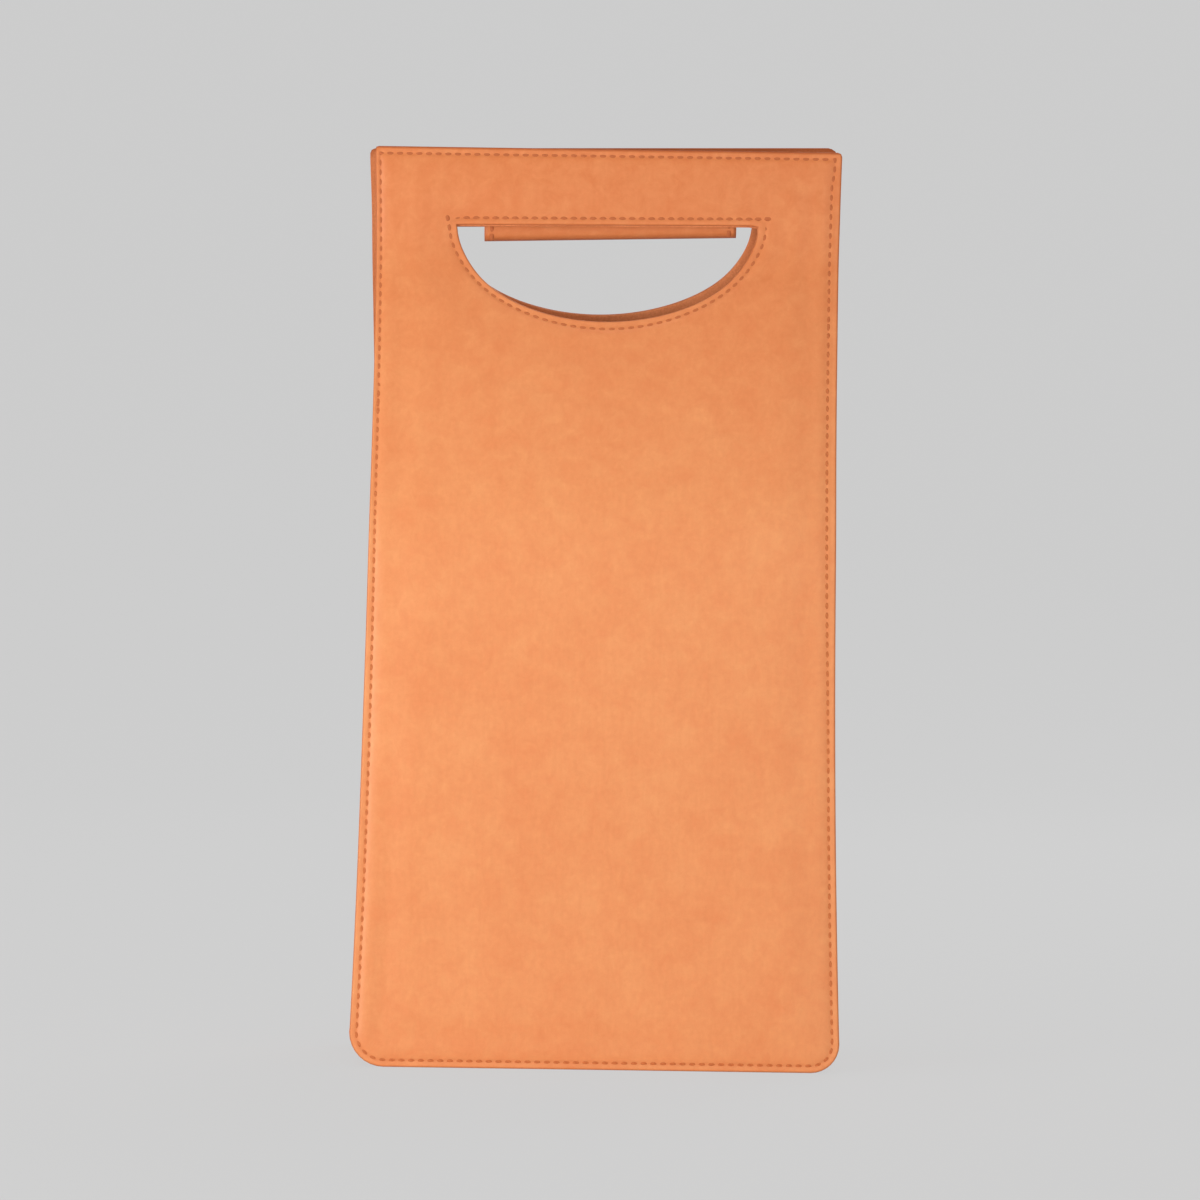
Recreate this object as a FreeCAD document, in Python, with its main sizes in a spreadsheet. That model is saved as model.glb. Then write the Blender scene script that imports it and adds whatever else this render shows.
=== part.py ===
import FreeCAD, Part
import math
import os

import Sketcher

# A leather wine tote for two bottles. A front and a back panel, each of leather with a
# lining, stand on a gusset strip that runs up one side, under the base and up the other.
# Above the shoulder of the bottles the panels lean in until they meet as two upright grip
# bars over a D-shaped hand hole. A small flap sewn to the back bar passes under it, stands
# between the bars and snaps onto the front bar.
# Lengths are in millimetres. X runs across the front, the front faces -Y, Z is up.

os.makedirs("parts", exist_ok=True)
doc = FreeCAD.newDocument("WineTote")

driving_sizes = {
    "tote_height": 374,
    "base_width": 198,
    "top_width": 192.6,
    "side_draw_in": 3,
    "tote_depth": 88,
    "corner_radius": 11,
    "leather_thickness": 1.6,
    "lining_thickness": 1,
    "hinge_height": 196,
    "lower_bend_share": 0.83,
    "upper_bend_share": 0.42,
    "upright_drop": 34,
    "bar_gap": 5.8,
    "bar_height": 32.1,
    "hole_width": 123.5,
    "hole_height": 39,
    "panel_overhang": 0.5,
    "flange_width": 8,
    "gusset_drop": 97,
    "fold_clearance": 0.3,
    "divider_thickness": 2,
    "divider_height": 190,
    "divider_tab_width": 12,
    "divider_tab_thickness": 1,
    "board_thickness": 2,
    "board_margin": 1,
    "board_corner_radius": 6,
    "cover_thickness": 0.8,
    "flap_width": 103.4,
    "flap_leather_thickness": 1.4,
    "flap_lining_thickness": 1,
    "flap_front_gap": 2.2,
    "flap_bend_drop": 5.3,
    "flap_bend_radius": 4.3,
    "flap_height": 25,
    "flap_corner_radius": 6,
    "sewn_leaf_height": 21,
    "snap_spacing": 64,
    "snap_drop": 19,
    "stud_base_radius": 5,
    "stud_base_thickness": 0.8,
    "stud_radius": 1.8,
    "stud_length": 1.9,
    "post_radius": 1.2,
    "socket_radius": 5.5,
    "socket_thickness": 1.1,
    "socket_bore_radius": 2.9,
    "neck_radius": 3.6,
    "cap_thickness": 0.9,
    "stitch_pitch": 3.9,
    "stitch_length": 2.5,
    "stitch_width": 0.8,
    "stitch_height": 0.35,
    "stitch_margin": 3,
    "hole_stitch_margin": 4.3,
    "stitch_lift": 0.02,
    "cutter_overrun": 20,
}

sheet = doc.addObject("Spreadsheet::Sheet", "Sizes")
for row, (alias, value) in enumerate(driving_sizes.items(), start=1):
    sheet.set(f"A{row}", alias)
    sheet.set(f"B{row}", str(value))
    sheet.setAlias(f"B{row}", alias)
doc.recompute()


def number(item):
    return item.value if isinstance(item, Size) else item


def words(item):
    return item.text if isinstance(item, Size) else str(item)


# A number worked out from the sheet, kept with the expression that gives it there.
class Size:
    def __init__(self, value, text):
        self.value = value
        self.text = text

    def __add__(self, other):
        return Size(self.value + number(other), f"({self.text} + {words(other)})")

    def __sub__(self, other):
        return Size(self.value - number(other), f"({self.text} - {words(other)})")

    def __mul__(self, other):
        return Size(self.value * number(other), f"({self.text} * {words(other)})")

    def __truediv__(self, other):
        return Size(self.value / number(other), f"({self.text} / {words(other)})")

    def __neg__(self):
        return self * -1


def cell(alias):
    return Size(float(sheet.get(alias)), f"Sizes.{alias}")


def root(size):
    return Size(math.sqrt(size.value), f"sqrt({size.text})")


def bind(item, property_name, size):
    item.setExpression(property_name, words(size))


tote_height = cell("tote_height")
hinge_height = cell("hinge_height")
leather = cell("leather_thickness")
lining = cell("lining_thickness")
overrun = cell("cutter_overrun")
half_base = cell("base_width") / 2
half_top = cell("top_width") / 2
half_depth = cell("tote_depth") / 2
corner_radius = cell("corner_radius")
stack = leather + lining
inner_depth = half_depth - stack
half_gap = cell("bar_gap") / 2
bar_face = half_gap + stack
upright_height = tote_height - cell("upright_drop")
gusset_top = tote_height - cell("gusset_drop")
hole_top = tote_height - cell("bar_height")

# The lean of the upper panels: an arc away from upright, a straight run, an arc back.
lean_rise = upright_height - hinge_height
lower_radius = lean_rise * cell("lower_bend_share")
upper_radius = lean_rise * cell("upper_bend_share")
bend_radii = lower_radius + upper_radius
bend_level = bend_radii - half_depth + bar_face
lean_run = root(bend_level * bend_level + lean_rise * lean_rise - bend_radii * bend_radii)
lean_square = bend_radii * bend_radii + lean_run * lean_run
lean_cosine = (bend_radii * bend_level + lean_run * lean_rise) / lean_square
lean_sine = (bend_radii * lean_rise - lean_run * bend_level) / lean_square

# The side edges of a panel draw in along a wide arc between the base corner and the top.
side_chord = tote_height - corner_radius
side_radius = side_chord * side_chord / (cell("side_draw_in") * 8) + cell("side_draw_in") / 2

drawing_planes = {
    "front": FreeCAD.Rotation(FreeCAD.Vector(1, 0, 0), 90),
    "side": FreeCAD.Rotation(FreeCAD.Vector(1, 1, 1), 120),
    "top": FreeCAD.Rotation(),
}
plane_roles = {"front": "XZ_Plane", "side": "YZ_Plane", "top": "XY_Plane"}
left_turn = 1
right_turn = -1


def arc_between(start, end, radius, turn):
    half_chord = (end - start) * 0.5
    height = math.sqrt(max(radius * radius - half_chord.Length * half_chord.Length, 0))
    across = FreeCAD.Vector(-half_chord.y, half_chord.x, 0).normalize()
    centre = start + half_chord + across * (height * turn)
    if turn == right_turn:
        start, end = end, start
    first = math.atan2(start.y - centre.y, start.x - centre.x)
    last = math.atan2(end.y - centre.y, end.x - centre.x)
    circle = Part.Circle(centre, FreeCAD.Vector(0, 0, 1), radius)
    return Part.ArcOfCircle(circle, first, last)


def fix(sketch, constraint, size):
    index = sketch.addConstraint(constraint)
    if isinstance(size, Size):
        bind(sketch, f"Constraints[{index}]", size)


# A closed loop. Each corner is (across, up), or (across, up, radius, turn) where the edge
# that leads to it is an arc that turns left or right on the way round.
def draw_loop(sketch, corners):
    first_edge = sketch.GeometryCount
    points = [FreeCAD.Vector(number(corner[0]), number(corner[1]), 0) for corner in corners]
    for index, corner in enumerate(corners):
        if len(corner) == 2:
            sketch.addGeometry(Part.LineSegment(points[index - 1], points[index]))
        else:
            radius = number(corner[2])
            sketch.addGeometry(arc_between(points[index - 1], points[index], radius, corner[3]))
    backward = [len(corner) == 4 and corner[3] == right_turn for corner in corners]
    for index, corner in enumerate(corners):
        following = (index + 1) % len(corners)
        edge = first_edge + index
        end_point = 1 if backward[index] else 2
        next_point = 2 if backward[following] else 1
        joined = Sketcher.Constraint("Coincident", edge, end_point, first_edge + following, next_point)
        sketch.addConstraint(joined)
        across = Sketcher.Constraint("DistanceX", edge, end_point, number(corner[0]))
        fix(sketch, across, corner[0])
        upward = Sketcher.Constraint("DistanceY", edge, end_point, number(corner[1]))
        fix(sketch, upward, corner[1])
        if len(corner) == 4:
            fix(sketch, Sketcher.Constraint("Radius", edge, number(corner[2])), corner[2])


def draw_sketch(name, plane, corners):
    sketch = doc.addObject("Sketcher::SketchObject", name)
    sketch.Placement = FreeCAD.Placement(FreeCAD.Vector(), drawing_planes[plane])
    draw_loop(sketch, corners)
    return sketch


# A solid between two parallel copies of an outline, as far to each side of its plane.
def extrude_evenly(name, outline, half_length):
    solid = doc.addObject("Part::Extrusion", name)
    solid.Base = outline
    solid.DirMode = "Normal"
    solid.Solid = True
    solid.Symmetric = True
    bind(solid, "LengthFwd", half_length * 2)
    return solid


def prism(name, plane, corners, half_length):
    return extrude_evenly(name, draw_sketch(f"{name}_outline", plane, corners), half_length)


def common(name, *pieces):
    shared = doc.addObject("Part::MultiCommon", name)
    shared.Shapes = list(pieces)
    return shared


def cut(name, base, tool):
    remainder = doc.addObject("Part::Cut", name)
    remainder.Base = base
    remainder.Tool = tool
    return remainder


def cylinder(name, radius, across, start, end, height):
    rod = doc.addObject("Part::Cylinder", name)
    bind(rod, "Radius", radius)
    bind(rod, "Height", end - start)
    rod.Placement.Rotation = FreeCAD.Rotation(FreeCAD.Vector(1, 0, 0), -90)
    bind(rod, "Placement.Base.x", across)
    bind(rod, "Placement.Base.y", start)
    bind(rod, "Placement.Base.z", height)
    return rod


def padded_body(name, plane, loops, start, thickness):
    body = doc.addObject("PartDesign::Body", name)
    sketch = body.newObject("Sketcher::SketchObject", f"{name}_sketch")
    for origin_plane in body.Origin.OriginFeatures:
        if origin_plane.Role == plane_roles[plane]:
            sketch.AttachmentSupport = [(origin_plane, "")]
    sketch.MapMode = "FlatFace"
    bind(sketch, "AttachmentOffset.Base.z", start)
    for corners in loops:
        draw_loop(sketch, corners)
    pad = body.newObject("PartDesign::Pad", f"{name}_pad")
    pad.Profile = sketch
    bind(pad, "Length", thickness)
    return body


nodes = {}


def keep(node, item):
    item.Label = node
    nodes[node] = item


# The outline of a panel seen from the front, drawn in by an inset at the sides and top,
# and by its own inset at the bottom.
def panel_outline(inset, bottom):
    foot = half_base - corner_radius
    side = half_base - inset
    bend = corner_radius - inset
    return [
        (foot, bottom),
        (side, bottom + bend, bend, left_turn),
        (half_top - inset, tote_height - inset, side_radius + inset, right_turn),
        (-(half_top - inset), tote_height - inset),
        (-side, bottom + bend, side_radius + inset, right_turn),
        (-foot, bottom, bend, left_turn),
    ]


# The edge of a layer seen from the side, between two depths below the outer face, for the
# upright lower part of a panel.
def lower_section(side, outer, inner):
    return [
        ((half_depth - outer) * side, 0),
        ((half_depth - inner) * side, 0),
        ((half_depth - inner) * side, hinge_height),
        ((half_depth - outer) * side, hinge_height),
    ]


# The same for the leaning upper part: up the outer face and back down the inner one.
def upper_section(side, outer, inner):
    lower_centre = half_depth - lower_radius
    upper_centre = bar_face + upper_radius

    def lower_end(depth):
        reach = lower_radius - depth
        return (lower_centre + reach * lean_cosine) * side, hinge_height + reach * lean_sine

    def upper_start(depth):
        reach = upper_radius + depth
        return (upper_centre - reach * lean_cosine) * side, upright_height - reach * lean_sine

    toward = left_turn * side
    away = right_turn * side
    return [
        ((half_depth - outer) * side, hinge_height),
        (*lower_end(outer), lower_radius - outer, toward),
        upper_start(outer),
        ((bar_face - outer) * side, upright_height, upper_radius + outer, away),
        ((bar_face - outer) * side, tote_height),
        ((bar_face - inner) * side, tote_height),
        ((bar_face - inner) * side, upright_height),
        (*upper_start(inner), upper_radius + inner, toward),
        lower_end(inner),
        ((half_depth - inner) * side, hinge_height, lower_radius - inner, away),
    ]


panel_shape = prism("panel_shape", "front", panel_outline(Size(0, "0"), Size(0, "0")), half_depth + overrun)


# The hand hole: the lower half of an ellipse under a straight top edge.
hole_ellipse = doc.addObject("Part::Ellipse", "hole_ellipse")
bind(hole_ellipse, "MajorRadius", cell("hole_width") / 2)
bind(hole_ellipse, "MinorRadius", cell("hole_height"))
hole_ellipse.Placement = FreeCAD.Placement(FreeCAD.Vector(), drawing_planes["front"])
bind(hole_ellipse, "Placement.Base.z", hole_top)
hole_whole = extrude_evenly("hole_whole", hole_ellipse, half_depth + overrun)
hole_side = cell("hole_width") / 2 + overrun
hole_floor = hole_top - cell("hole_height") - overrun
below_hole_top = prism(
    "below_hole_top",
    "front",
    [(hole_side, hole_floor), (hole_side, hole_top), (-hole_side, hole_top), (-hole_side, hole_floor)],
    half_depth + overrun * 2,
)
hand_hole = common("hand_hole", hole_whole, below_hole_top)


# Snaps stand in pairs, left and right of the middle of the bar.
snap_places = [cell("snap_spacing") / -2, cell("snap_spacing") / 2]
snap_height = tote_height - cell("snap_drop")


def snap_pair(node, build_one):
    pair = doc.addObject("Part::Compound", f"{node}_pair")
    pair.Links = [build_one(f"{node}_{index}", across) for index, across in enumerate(snap_places)]
    return pair


front = -1
back = 1
side_names = {front: "front", back: "back"}
half_width = half_base + overrun

for side, side_name in side_names.items():
    for layer_name, outer, inner in (("leather", Size(0, "0"), leather), ("lining", leather, stack)):
        name = f"{side_name}_{layer_name}"
        lower = prism(f"{name}_low", "side", lower_section(side, outer, inner), half_width)
        keep(f"{name}_lower", common(f"{name}_lower_panel", lower, panel_shape))
        upper = prism(f"{name}_high", "side", upper_section(side, outer, inner), half_width)
        sheet_shape = common(f"{name}_sheet", upper, panel_shape)
        holed = cut(f"{name}_holed", sheet_shape, hand_hole)
        if (side, layer_name) == (front, "lining"):
            posts = snap_pair("post_holes", lambda label, across: cylinder(
                label, cell("post_radius"), across, -bar_face, -half_gap, snap_height))
            holed = cut(f"{name}_pierced", holed, posts)
        keep(f"{name}_upper", holed)


# The gusset strip is a U: its walls stand just inside the edges of the panels, and its
# flanges turn inward behind the linings. It is static up to the hinge line.
strip_inset = cell("panel_overhang")
wall_inset = strip_inset + leather
flange_inset = wall_inset + cell("flange_width")
flange_bottom = leather + cell("flange_width")
flange_depth = inner_depth - leather
lining_inset = wall_inset + lining
below_hinge = prism(
    "below_hinge",
    "front",
    [(half_width, 0), (half_width, hinge_height), (-half_width, hinge_height), (-half_width, 0)],
    half_depth + overrun,
)
strip_block = prism("strip_block", "front", panel_outline(strip_inset, Size(0, "0")), inner_depth)
strip_room = prism("strip_room", "front", panel_outline(wall_inset, leather), flange_depth)
strip_mouth = prism("strip_mouth", "front", panel_outline(flange_inset, flange_bottom), half_depth)
strip_shell = cut("strip_shell", cut("strip_walls", strip_block, strip_room), strip_mouth)
keep("gusset_strip", common("gusset_strip_u", strip_shell, below_hinge))

lining_block = prism("lining_block", "front", panel_outline(wall_inset, leather), flange_depth)
lining_room = prism("lining_room", "front", panel_outline(lining_inset, stack), half_depth)
lining_shell = cut("lining_shell", lining_block, lining_room)
keep("gusset_lining", common("gusset_lining_u", lining_shell, below_hinge))


# Distance from the middle to a face of the upper panel that lies a depth below the outer
# one, and the lean of the panel there.
def face_at(height, depth):
    above_hinge = height - hinge_height.value
    below_upright = upright_height.value - height
    lower_reach = lower_radius.value - depth
    upper_reach = upper_radius.value + depth
    if above_hinge <= 0:
        return half_depth.value - depth, 0
    if above_hinge < lower_reach * lean_sine.value:
        lean = math.asin(above_hinge / lower_reach)
        return half_depth.value - lower_radius.value + lower_reach * math.cos(lean), lean
    if below_upright <= 0:
        return bar_face.value - depth, 0
    if below_upright < upper_reach * lean_sine.value:
        lean = math.asin(below_upright / upper_reach)
        return bar_face.value + upper_radius.value - upper_reach * math.cos(lean), lean
    start = half_depth.value - lower_radius.value + lower_reach * lean_cosine.value
    climbed = above_hinge - lower_reach * lean_sine.value
    lean = math.asin(lean_sine.value)
    return start - climbed * math.tan(lean), lean


# Half the width of a panel at a height, drawn in by an inset.
def half_width_at(height, inset):
    lowest = corner_radius.value
    chord = tote_height.value - lowest
    share = (height - lowest) / chord
    straight = half_base.value + (half_top.value - half_base.value) * share
    bow = side_radius.value - math.sqrt(side_radius.value ** 2 - (chord / 2) ** 2)
    across = (share - 0.5) * chord
    arc_depth = math.sqrt(side_radius.value ** 2 - across ** 2) - side_radius.value + bow
    return straight - arc_depth - inset


# One level of the folded end of the gusset, from flange to fold to flange.
def fold_section(side, height):
    thickness = leather.value
    edge = half_width_at(height, strip_inset.value)
    wall = inner_depth.value - cell("fold_clearance").value
    depth = face_at(height, stack.value)[0] - cell("fold_clearance").value
    fold = math.sqrt(wall ** 2 - depth ** 2)
    tip = edge - cell("flange_width").value - thickness
    inner_corner = edge - thickness * depth / wall - thickness * fold * (wall + fold) / (depth * wall)
    inner_fold = edge - fold - thickness * wall / depth
    half = [(tip, depth), (edge, depth), (edge - fold, 0)]
    inner_half = [(inner_fold, 0), (inner_corner, depth - thickness), (tip, depth - thickness)]
    loop = [(across, -along) for across, along in half]
    loop += [(across, along) for across, along in reversed(half[:2])]
    loop += [(across, along) for across, along in reversed(inner_half[1:])]
    loop += [(across, -along) for across, along in inner_half]
    points = [FreeCAD.Vector(across * side, along, height) for across, along in loop]
    return Part.makePolygon(points + points[:1])


fold_level_shares = [0, 0.12, 0.26, 0.42, 0.7, 1]
left = -1
right = 1
for side, side_name in ((left, "left"), (right, "right")):
    rise = gusset_top.value - hinge_height.value
    levels = [hinge_height.value + rise * share for share in fold_level_shares]
    sections = [fold_section(side, level) for level in levels]
    fold_end = doc.addObject("Part::Feature", f"gusset_fold_{side_name}")
    fold_end.Shape = Part.makeLoft(sections, True, True)
    keep(f"gusset_top_{side_name}", fold_end)


# A rectangle with round corners, as a loop for a sketch.
def round_rectangle(half_across, half_up, radius):
    inner_across = half_across - radius
    inner_up = half_up - radius
    return [
        (inner_across, -half_up),
        (half_across, -inner_up, radius, left_turn),
        (half_across, inner_up),
        (inner_across, half_up, radius, left_turn),
        (-inner_across, half_up),
        (-half_across, inner_up, radius, left_turn),
        (-half_across, -inner_up),
        (-inner_across, -half_up, radius, left_turn),
    ]


board_across = half_base - corner_radius
board_along = flange_depth - cell("board_margin")
board_loop = round_rectangle(board_across, board_along, cell("board_corner_radius"))
board_thickness = cell("board_thickness")
board = padded_body("base_board_body", "top", [board_loop], stack, board_thickness)
keep("base_board", board)
cover = padded_body("base_cover_body", "top", [board_loop], stack + board_thickness, cell("cover_thickness"))
keep("base_cover", cover)

web = cell("divider_thickness") / 2
tab_across = cell("divider_tab_width") / 2
tab_root = inner_depth - cell("divider_tab_thickness")
divider_loop = [
    (tab_across, -inner_depth),
    (tab_across, -tab_root),
    (web, -tab_root),
    (web, tab_root),
    (tab_across, tab_root),
    (tab_across, inner_depth),
    (-tab_across, inner_depth),
    (-tab_across, tab_root),
    (-web, tab_root),
    (-web, -tab_root),
    (-tab_across, -tab_root),
    (-tab_across, -inner_depth),
]
divider_bottom = flange_bottom + cell("fold_clearance")
divider_rise = cell("divider_height") - divider_bottom
divider = padded_body("bottle_divider_body", "top", [divider_loop], divider_bottom, divider_rise)
keep("bottle_divider", divider)


# The flap: its sewn leaf lies on the back of the back bar, bends under the bar and ends
# where the free leaf starts. The free leaf stands between the bars.
flap_front = cell("flap_front_gap") - half_gap
flap_radius = cell("flap_bend_radius")
flap_centre = flap_front + flap_radius
flap_bottom = hole_top - cell("flap_bend_drop")
bend_height = flap_bottom + flap_radius
flap_leather = cell("flap_leather_thickness")
flap_stack = flap_leather + cell("flap_lining_thickness")
sewn_top = bend_height + cell("sewn_leaf_height")
flap_top = bend_height + cell("flap_height")


def sewn_section(outer, inner):
    outer_reach = flap_radius - outer
    inner_reach = flap_radius - inner
    return [
        (flap_centre + outer_reach, sewn_top),
        (flap_centre + inner_reach, sewn_top),
        (flap_centre + inner_reach, bend_height),
        (flap_centre, bend_height - inner_reach, inner_reach, right_turn),
        (flap_centre - inner_reach, bend_height, inner_reach, right_turn),
        (flap_centre - outer_reach, bend_height),
        (flap_centre, bend_height - outer_reach, outer_reach, left_turn),
        (flap_centre + outer_reach, bend_height, outer_reach, left_turn),
    ]


def leaf_section(outer, inner):
    return [
        (flap_front + outer, bend_height),
        (flap_front + inner, bend_height),
        (flap_front + inner, flap_top),
        (flap_front + outer, flap_top),
    ]


def flap_outline(top):
    across = cell("flap_width") / 2
    bend = cell("flap_corner_radius")
    return [
        (across, flap_bottom - overrun),
        (across, top - bend),
        (across - bend, top, bend, left_turn),
        (-(across - bend), top),
        (-across, top - bend, bend, left_turn),
        (-across, flap_bottom - overrun),
    ]


neck_holes = snap_pair("neck_holes", lambda label, across: cylinder(
    label, cell("neck_radius"), across, flap_front, flap_front + flap_stack, snap_height))
sewn_shape = prism("sewn_shape", "front", flap_outline(sewn_top), half_depth)
leaf_shape = prism("leaf_shape", "front", flap_outline(flap_top), half_depth)
for layer_name, outer, inner in (("leather", Size(0, "0"), flap_leather), ("lining", flap_leather, flap_stack)):
    sewn = prism(f"sewn_{layer_name}", "side", sewn_section(outer, inner), half_width)
    keep(f"flap_sewn_{layer_name}", common(f"flap_sewn_{layer_name}_leaf", sewn, sewn_shape))
    leaf = prism(f"leaf_{layer_name}", "side", leaf_section(outer, inner), half_width)
    free_leaf = common(f"flap_{layer_name}_leaf", leaf, leaf_shape)
    keep(f"flap_free_{layer_name}", cut(f"flap_{layer_name}_pierced", free_leaf, neck_holes))


# A snap has a stud with a post through the lining of the front bar, a socket with a neck
# through the flap, and a cap that closes the neck behind.
def stud(label, across):
    post = cylinder(f"{label}_post", cell("post_radius"), across, -bar_face + leather, -half_gap, snap_height)
    base_end = cell("stud_base_thickness") - half_gap
    base = cylinder(f"{label}_base", cell("stud_base_radius"), across, -half_gap, base_end, snap_height)
    tip_end = base_end + cell("stud_length")
    tip = cylinder(f"{label}_tip", cell("stud_radius"), across, base_end, tip_end, snap_height)
    whole = doc.addObject("Part::MultiFuse", label)
    whole.Shapes = [post, base, tip]
    return whole


def socket(label, across):
    ring_start = flap_front - cell("socket_thickness")
    neck_end = flap_front + flap_stack
    ring = cylinder(f"{label}_ring", cell("socket_radius"), across, ring_start, flap_front, snap_height)
    neck = cylinder(f"{label}_neck", cell("neck_radius"), across, ring_start, neck_end, snap_height)
    bore = cylinder(f"{label}_bore", cell("socket_bore_radius"), across,
                    ring_start - overrun, neck_end + overrun, snap_height)
    solid = doc.addObject("Part::MultiFuse", f"{label}_solid")
    solid.Shapes = [ring, neck]
    return cut(label, solid, bore)


def cap(label, across):
    cap_start = flap_front + flap_stack
    return cylinder(label, cell("socket_radius"), across, cap_start, cap_start + cell("cap_thickness"), snap_height)


keep("snap_studs", snap_pair("snap_stud", stud))
keep("snap_sockets", snap_pair("snap_socket", socket))
keep("snap_caps", snap_pair("snap_cap", cap))


# One stitch: a short bar that lies on a leather face, along the seam.
def stitch_bar(across, distance, height, seam_angle, side, lean):
    length = cell("stitch_length").value
    width = cell("stitch_width").value
    lift = cell("stitch_lift").value
    rise = cell("stitch_height").value
    start = lift if side == back else -lift - rise
    bar = Part.makeBox(length, rise, width, FreeCAD.Vector(-length / 2, start, -width / 2))
    along_seam = FreeCAD.Rotation(FreeCAD.Vector(0, 1, 0), -math.degrees(seam_angle))
    with_panel = FreeCAD.Rotation(FreeCAD.Vector(1, 0, 0), math.degrees(lean) * side)
    place = FreeCAD.Vector(across, distance * side, height)
    bar.Placement = FreeCAD.Placement(place, with_panel.multiply(along_seam))
    return bar


# Places at even steps along a seam, each with its direction.
def seam_places(wire):
    count = round(wire.Length / cell("stitch_pitch").value)
    points = wire.discretize(Number=count * 2 + 1)
    for index in range(1, len(points), 2):
        step = points[index] - points[index - 1]
        yield points[index], math.atan2(step.z, step.x)


def stitch_row(node, bars):
    row = doc.addObject("Part::Feature", f"{node}_row")
    row.Shape = Part.makeCompound(bars)
    keep(node, row)


seam_bottom = cell("stitch_margin")
panel_seam = draw_sketch("panel_seam", "front", panel_outline(cell("stitch_margin"), seam_bottom))
hole_margin = cell("hole_stitch_margin")
seam_ellipse = doc.addObject("Part::Ellipse", "seam_ellipse")
bind(seam_ellipse, "MajorRadius", cell("hole_width") / 2 + hole_margin)
bind(seam_ellipse, "MinorRadius", cell("hole_height") + hole_margin + seam_bottom)
seam_ellipse.Placement = FreeCAD.Placement(FreeCAD.Vector(), drawing_planes["front"])
bind(seam_ellipse, "Placement.Base.z", hole_top + seam_bottom)
seam_across = cell("flap_width") / 2 - seam_bottom
sewn_seam_loop = round_rectangle(seam_across, cell("sewn_leaf_height") / 2 - seam_bottom, seam_bottom)
sewn_seam = draw_sketch("sewn_seam", "front", sewn_seam_loop)
free_seam_loop = round_rectangle(seam_across, cell("flap_height") / 2 - seam_bottom, seam_bottom)
free_seam = draw_sketch("free_seam", "front", free_seam_loop)
doc.recompute()

hole_line = hole_top.value + seam_bottom.value
hole_reach = cell("hole_width").value / 2 + hole_margin.value
hole_seam_top = Part.Wire(Part.makeLine(
    FreeCAD.Vector(-hole_reach, 0, hole_line), FreeCAD.Vector(hole_reach, 0, hole_line)))
hole_seam_curve = Part.Wire(seam_ellipse.Shape.Edges)
clear_of_hinge = cell("stitch_length").value
leaf_cover = cell("flap_width").value / 2 + clear_of_hinge
for side, side_name in side_names.items():
    rows = {"lower": [], "upper": [], "hole": []}
    for point, angle in seam_places(panel_seam.Shape.Wires[0]):
        distance, lean = face_at(point.z, 0)
        bar = stitch_bar(point.x, distance, point.z, angle, side, lean)
        if abs(point.z - hinge_height.value) > clear_of_hinge:
            rows["lower" if point.z < hinge_height.value else "upper"].append(bar)
    # The sewn leaf of the flap covers most of the row above the hole in the back panel.
    covered = leaf_cover if side == back else 0
    hole_places = [place for place in seam_places(hole_seam_top) if abs(place[0].x) > covered]
    hole_places += [place for place in seam_places(hole_seam_curve) if place[0].z < hole_line]
    for point, angle in hole_places:
        distance, lean = face_at(point.z, 0)
        rows["hole"].append(stitch_bar(point.x, distance, point.z, angle, side, lean))
    stitch_row(f"{side_name}_stitches_lower", rows["lower"])
    stitch_row(f"{side_name}_stitches_upper", rows["upper"])
    stitch_row(f"{side_name}_stitches_hole", rows["hole"])



# The row round one leaf of the flap, on the face that looks away from the other leaf.
def leaf_row(node, seam, leaf_height, distance, side):
    middle = bend_height.value + leaf_height.value / 2
    places = seam_places(seam.Shape.Wires[0])
    stitch_row(node, [
        stitch_bar(point.x, distance.value, point.z + middle, angle, side, 0) for point, angle in places])


leaf_row("flap_stitches_sewn", sewn_seam, cell("sewn_leaf_height"), flap_centre + flap_radius, back)
leaf_row("flap_stitches_free", free_seam, cell("flap_height"), -flap_front, front)

doc.recompute()

for item in doc.Objects:
    if "Invalid" in item.State or "Error" in item.State:
        raise ValueError(f"{item.Name} did not build: {item.State}")
for node, item in nodes.items():
    if item.Shape.isNull() or not item.Shape.isValid() or not item.Shape.Solids:
        raise ValueError(f"{node} has no valid solid")

for node, item in nodes.items():
    whole = item.Shape.Solids[0] if len(item.Shape.Solids) == 1 else item.Shape
    whole.exportStep(f"parts/{node}.step")
    box = item.Shape.BoundBox
    print(f"{node}: {len(item.Shape.Solids)} solids, {item.Shape.Volume:.0f} mm3, "
          f"x {box.XMin:.1f} to {box.XMax:.1f}, y {box.YMin:.1f} to {box.YMax:.1f}, "
          f"z {box.ZMin:.1f} to {box.ZMax:.1f}")
print(f"{len(nodes)} sub-parts")
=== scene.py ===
import math

import bpy
import numpy as np
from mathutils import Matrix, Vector, geometry, noise


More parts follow.
